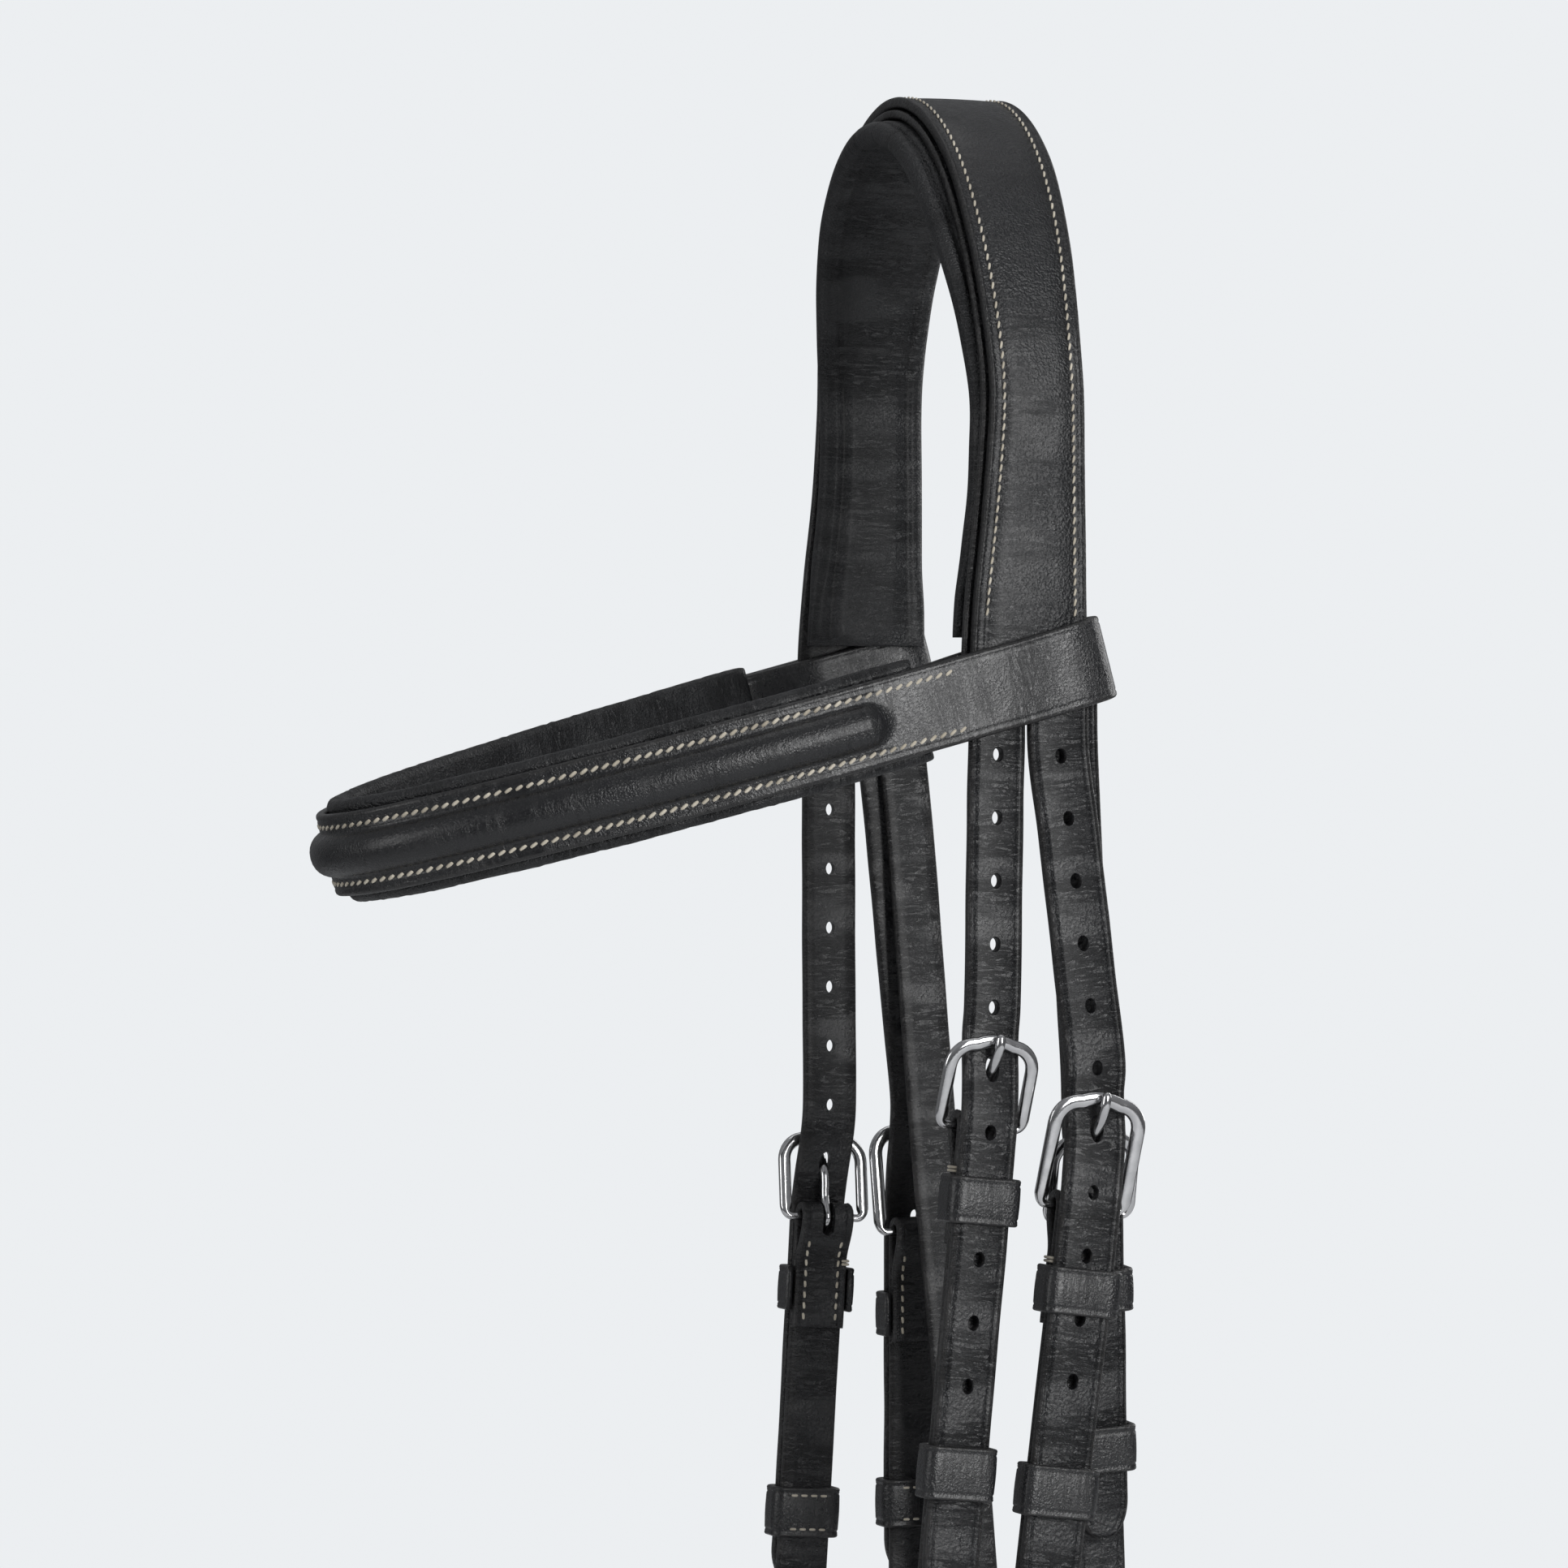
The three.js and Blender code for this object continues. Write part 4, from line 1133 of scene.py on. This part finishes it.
def runner(gear):
    size = gear.size
    outline = keeper_outline(gear, closed=True)
    loop = dense(outline + [outline[0]])[:-1]
    up = -size["runner"]
    points = [gear.place(across, out, up) for across, out in loop]
    section = keeper_section(size["runner_height"])
    ring = ring_sweep(f"{gear.prefix}_runner_leather", points, gear.up, section)
    finish_piece(ring, SMOOTH)
    body = f"{gear.prefix}_runner"
    ride(ring, body, body)
    back = FOLD_INNER - GAP - KEEPER_LEATHER - 0.02
    stitches = []
    for offset in (-1, 1):
        level = up + offset * (size["runner_height"] / 2 - 2.2)
        for across in np.arange(-4.2, 4.3, 2.8):
            stitches.append((gear.place(across, back, level), gear.across, -gear.out))
    ride(thread(f"{gear.prefix}_runner_stitching", stitches, length=2.0, radius=0.3), body)


def frame_outline(gear):
    """Middle line (across, up the frame) of a buckle's frame, from its heel bar round."""
    half = gear.buckle["half"] + gear.buckle["rim"] / 2
    top = math.hypot(gear.buckle["rise"], FRAME_TIP_OUT)
    arch = 1.1
    outline = []
    for centre, start, radius in (((half - 1.8, 1.8), -90, 1.8), ((half - 6.2, top - arch - 6.2), 0, 6.2)):
        for turn in np.radians(np.linspace(start, start + 90, 10)):
            outline.append((centre[0] + radius * math.cos(turn), centre[1] + radius * math.sin(turn)))
    crown = np.linspace(half - 7.5, 0, 6)
    outline += [(across, top - arch * (across / (half - 6.2)) ** 2) for across in crown]
    left = [(-across, up) for across, up in outline[-2::-1]]
    return outline + left


def buckle_frame(gear):
    tilt = math.atan2(FRAME_TIP_OUT, gear.buckle["rise"])
    outline = frame_outline(gear)
    loop = dense(outline + [outline[0]], 0.7)[:-1]
    slope_up = gear.up * math.cos(tilt) + gear.out * math.sin(tilt)
    normal = unit(np.cross(slope_up, gear.across))
    points = [gear.origin + gear.across * across + slope_up * up for across, up in loop]

    def section(i):
        across, up = loop[i]
        width = 1.05 + (gear.buckle["rim"] / 2 - 1.05) * smooth_step(up, 0.2, 3.0)
        thick = 1.05 + 0.1 * smooth_step(up, 0.2, 3.0)
        ring = []
        for k in range(16):
            turn = 2 * math.pi * k / 16
            side = math.copysign(abs(math.cos(turn)) ** 0.8, math.cos(turn)) * thick
            ring.append((side, math.sin(turn) * width, 0.0))
        return ring

    frame_ = ring_sweep(f"{gear.prefix}_buckle_frame", points, normal, section)
    gear.ride(frame_, STEEL, "polished_steel", f"{gear.prefix}_buckle")


def buckle_tongue(gear):
    """A tongue whose root wraps the heel bar and whose tip lies on the frame."""
    hole, rise = gear.buckle["hole"], gear.buckle["rise"]
    coil = 2.3
    turns = [math.radians(turn) for turn in range(10, -260, -27)]
    line = [(coil * math.cos(turn), coil * math.sin(turn)) for turn in turns]
    rest = FRAME_TIP_OUT + BAR_HALF + 1.75
    line += [(0.6, 5.4), (1.0, hole - 6.5), (2.0, hole - 2.8), (4.4, hole), (6.9, hole + 3.2)]
    line += [(rest, rise - 1.2), (rest + 0.15, rise + 2.0)]
    points = [gear.place(0, out, up) for out, up in line]
    radii = [(0, 0.8), (0.1, 1.05), (0.5, 1.15), (0.75, 1.3), (1, 1.2)]
    tongue = tube(f"{gear.prefix}_buckle_tongue", points, radii)
    finish_piece(tongue, STEEL)
    body = f"{gear.prefix}_tongue"
    ride(tongue, body, body)


def keeper_thread(gear):
    """A double strand round one edge of the strap, just above its keeper."""
    half = (gear.size["width"] - 0.4) / 2
    top = gear.size["keeper_height"] / 2 - gear.size["keeper"] + 0.9
    strands = []
    for level in (0.0, 0.9):
        line = [(1.8 - half, -0.45), (-half - 0.1, -0.35), (-half - 0.35, 1.0), (-half - 0.35, 3.0),
                (-half - 0.1, 4.3), (1.8 - half, 4.45), (4.6 - half, 4.4)]
        points = [gear.place(across, out, top + level) for across, out in line]
        strands.append(tube("strand", points, [(0, 0.36), (1, 0.36)], sides=8))
    join_into(strands[0], strands[1])
    strands[0].name = f"{gear.prefix}_keeper_thread"
    gear.ride(strands[0], THREAD, "cream_thread")


def hook_stud(gear):
    """Turned stud that holds the foot of a cheekpiece shut."""
    foot = STUD_UP - gear.size["length"]
    line = [(0.05, -3.6), (1.2, -3.5), (1.4, -3.2), (1.35, 0.6), (1.5, 4.2), (2.6, 4.4), (3.1, 4.9),
            (2.9, 5.7), (2.1, 6.3), (1.0, 6.6), (0.05, 6.65)]
    sides = 24
    vertices = []
    for radius, out in line:
        for k in range(sides):
            turn = 2 * math.pi * k / sides
            vertices.append(gear.place(radius * math.cos(turn), out, foot + radius * math.sin(turn)))
    faces = quads_between(len(line), sides, closed=False)
    last = (len(line) - 1) * sides
    faces += [tuple(range(sides)), tuple(range(last + sides - 1, last - 1, -1))]
    stud = make_mesh(f"{gear.prefix}_hook_stud", vertices, faces)
    gear.ride(stud, STEEL, "polished_steel", f"{gear.prefix}_stud")


def bit_keeper(gear):
    """Fixed ring of leather that holds the bit fold shut."""
    half = (gear.size["width"]) / 2 + GAP + KEEPER_LEATHER / 2
    back = FOLD_INNER - STRAP_THICKNESS - GAP - KEEPER_LEATHER / 2
    front = FOLD_OUTER + GAP + KEEPER_LEATHER / 2
    radius = 1.6
    outline = []
    for x, y, start in ((half, front, 90), (half, back, 0), (-half, back, -90), (-half, front, 180)):
        centre = (x - math.copysign(radius, x), y - radius if y > 0 else y + radius)
        for turn in np.radians(np.linspace(start, start - 90, 6)):
            outline.append((centre[0] + radius * math.cos(turn), centre[1] + radius * math.sin(turn)))
    loop = dense(outline + [outline[0]])[:-1]
    points = [gear.place(across, out, BIT_KEEPER_UP - gear.size["length"]) for across, out in loop]
    ring = ring_sweep(f"{gear.prefix}_bit_keeper_leather", points, gear.up, keeper_section(9.0))
    gear.ride(ring, SMOOTH, "strap_leather", f"{gear.prefix}_bit_keeper")


def buckled(gear):
    buckle_frame(gear)
    buckle_tongue(gear)
    fixed_keeper(gear)
    runner(gear)
    keeper_thread(gear)


def side_straps(side):
    """Cheekpiece and noseband hanger of one side, each hung on its headpiece point."""
    out = -HEAD_MIDDLE if side == "near" else HEAD_MIDDLE
    cheek = Unit(f"{side}_cheek")
    folded_strap(cheek, f"{side}_cheekpiece_leather", f"{side}_cheekpiece", bit_loop=True)
    start = (cheek.size["start"], out, down(FLEX_DROP))
    strap_point(cheek, f"{side}_front_point_leather", f"{side}_front_point", start, "head")
    buckled(cheek)
    hook_stud(cheek)
    bit_keeper(cheek)
    nose = Unit(f"{side}_nose")
    folded_strap(nose, f"{side}_hanger_leather", f"{side}_nose_hanger")
    start = (nose.size["start"], out, down(FLEX_DROP))
    strap_point(nose, f"{side}_rear_point_leather", f"{side}_rear_point", start, "head")
    buckled(nose)


def throat_loop():
    """Throat strap: a long loop under the jaw, buckled up on the near side."""
    gear = Unit("throat")
    leg = ARCH_HALF_WIDTH - THROAT_DEPTH - THROAT_THICKNESS / 2
    start = (THROAT_MIDDLE, -leg, down(FLEX_DROP))
    strap_point(gear, "throat_point_leather", "throat_point", start, "head")
    fold = [gear.place(0, out, up) for out, up in folded_line(-30.0, False, -30.0)]
    hang = [gear.place(0, FOLD_MIDDLE, up) for up in (-30, -60, -110)]
    hang += [np.array((x, y, down(drop))) for x, y, drop in (
        (28, -36, 450), (30, -29, 485), (31, 0, 505), (31, 29, 485), (30, 37, 450), (27, 44, 380),
        (20, 52, 280), (THROAT_MIDDLE + 2, leg - 0.4, 190), (THROAT_MIDDLE, leg, FLEX_DROP),
        (THROAT_MIDDLE, leg, JOIN_DROP + 1))]
    path = Path(fold[:-1] + list(Path(hang).points), smooth=False)
    half = (THROAT_WIDTH - 0.4) / 2
    section = strap_section(lambda run: (-half, half), STRAP_THICKNESS, path.length)
    strap = sweep("throat_loop_leather", path, X_AXIS, section, step=1.8, wobble=0.15, seed=21)
    cut(strap, [box_cutter(gear, 0, 0, 0.6, 1.7, 7.0, 5.4)])
    finish_piece(strap, OUTER)
    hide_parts("throat_loop_strap")
    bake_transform(strap)
    fold_stitches(gear, path, -30.0)
    buckled(gear)


def chin_strap(place):
    """Short strap that closes the noseband behind the chin."""
    gear = Unit("chin")
    folded_strap(gear, "chin_tab_leather", "chin_buckle_tab", turn_end=-20.0)
    line = [place(x, y) for x, y in ((25, 56.9), (42, 49.6), (62, 40), (84, 25), (96, 3), (95, -15))]
    rise = gear.buckle["rise"]
    heights = point_heights(gear)
    for up in (rise + 8, rise + 1, gear.buckle["hole"], 8, 2, -6, -20, -gear.size["tip"]):
        line.append(gear.place(0, profile(heights, up), up))
    path = Path(line)
    edges = tail_edges(gear.size["width"], path.length, 9)
    section = strap_section(edges, POINT_THICKNESS, path.length, dome=0.3)
    strap = sweep("chin_strap_leather", path, gear.across, section, step=1.5, wobble=0.18, seed=31)
    rear_run = path.length * 0.55
    punch(gear, strap, path, run_where_up(gear, path, gear.buckle["hole"], rear_run))
    gear.ride(strap, OUTER, "strap_leather", "chin_strap")
    buckled(gear)


# Stage, light and camera
VIEW_AZIMUTH = math.radians(-20.5)
CAMERA_HEIGHT = -0.1665
CAMERA_REACH = 1.692
AIM = Vector((-0.0378, 0.0142, CAMERA_HEIGHT))
FORWARD = Vector((-math.sin(VIEW_AZIMUTH), math.cos(VIEW_AZIMUTH), 0))
RIGHT = Vector((FORWARD.y, -FORWARD.x, 0))


def camera():
    data = bpy.data.cameras.new("camera")
    data.lens = 148
    data.sensor_width = 36
    data.clip_start = 0.05
    obj = bpy.data.objects.new("camera", data)
    obj.location = AIM - FORWARD * CAMERA_REACH
    obj.rotation_euler = FORWARD.to_track_quat("-Z", "Y").to_euler()
    bpy.context.scene.collection.objects.link(obj)
    bpy.context.scene.camera = obj


def area_light(name, offset, size, power, colour=(1, 1, 1)):
    """A soft lamp at right, forward and up distances from the aim, facing it."""
    data = bpy.data.lights.new(name, "AREA")
    data.shape = "RECTANGLE"
    data.size, data.size_y = size
    data.energy = power
    data.color = colour
    obj = bpy.data.objects.new(name, data)
    right, forward, up = offset
    place = RIGHT * right + FORWARD * forward + Vector((0, 0, up))
    obj.location = AIM + place
    obj.rotation_euler = (-place).to_track_quat("-Z", "Y").to_euler()
    bpy.context.scene.collection.objects.link(obj)


def world_light():
    """Pale backdrop for the camera, and a dimmer room that the leather reflects."""
    world = bpy.data.worlds.new("studio")
    bpy.context.scene.world = world
    world.use_nodes = True
    tree = world.node_tree
    shown = tree.nodes["Background"]
    shown.inputs["Color"].default_value = (0.84, 0.86, 0.88, 1)
    room = tree.nodes.new("ShaderNodeBackground")
    place = tree.nodes.new("ShaderNodeTexCoord")
    split = tree.nodes.new("ShaderNodeSeparateXYZ")
    ramp = tree.nodes.new("ShaderNodeValToRGB")
    ramp.color_ramp.elements[0].position = 0.1
    ramp.color_ramp.elements[0].color = (0.02, 0.02, 0.022, 1)
    ramp.color_ramp.elements[1].position = 0.9
    ramp.color_ramp.elements[1].color = (0.30, 0.305, 0.315, 1)
    half = tree.nodes.new("ShaderNodeMath")
    half.operation = "MULTIPLY_ADD"
    half.inputs[1].default_value = 0.5
    half.inputs[2].default_value = 0.5
    tree.links.new(place.outputs["Generated"], split.inputs[0])
    tree.links.new(split.outputs["Z"], half.inputs[0])
    tree.links.new(half.outputs[0], ramp.inputs[0])
    tree.links.new(ramp.outputs[0], room.inputs["Color"])
    ray = tree.nodes.new("ShaderNodeLightPath")
    mix = tree.nodes.new("ShaderNodeMixShader")
    tree.links.new(ray.outputs["Is Camera Ray"], mix.inputs[0])
    tree.links.new(room.outputs[0], mix.inputs[1])
    tree.links.new(shown.outputs[0], mix.inputs[2])
    tree.links.new(mix.outputs[0], tree.nodes["World Output"].inputs["Surface"])


def floor():
    """Plain pale round floor under the bridle."""
    radius, level, sides = 850.0, -521.0, 96
    turns = [2 * math.pi * side / sides for side in range(sides)]
    vertices = [(radius * math.cos(turn), radius * math.sin(turn), level) for turn in turns]
    obj = make_mesh("studio_floor", vertices, [tuple(range(sides))])
    nodes = Nodes("pale_floor")
    place = nodes.add("ShaderNodeTexCoord")
    tone = nodes.noise(place.outputs["Object"], 3.0, 2.0)
    shade = nodes.mix(tone, (0.78, 0.79, 0.80, 1), (0.82, 0.83, 0.84, 1))
    nodes.tree.links.new(shade, nodes.shader.inputs["Base Color"])
    nodes.shader.inputs["Roughness"].default_value = 0.8
    obj.data.materials.append(nodes.material)


def lights():
    bpy.context.scene.view_settings.view_transform = "Standard"
    area_light("key", (0.95, -1.45, 0.3), (0.6, 1.1), 22)
    area_light("left_fill", (-1.5, -0.9, 0.3), (0.7, 1.0), 6)
    area_light("top", (0.1, 0.1, 1.4), (0.8, 0.8), 2)
    area_light("rim", (0.9, 0.9, 0.4), (0.4, 1.0), 4)


headpiece()
headpiece_pad()
headpiece_backing()
throat_crown()
browband()
chin_strap(noseband())
side_straps("near")
side_straps("far")
throat_loop()
camera()
world_light()
floor()
lights()
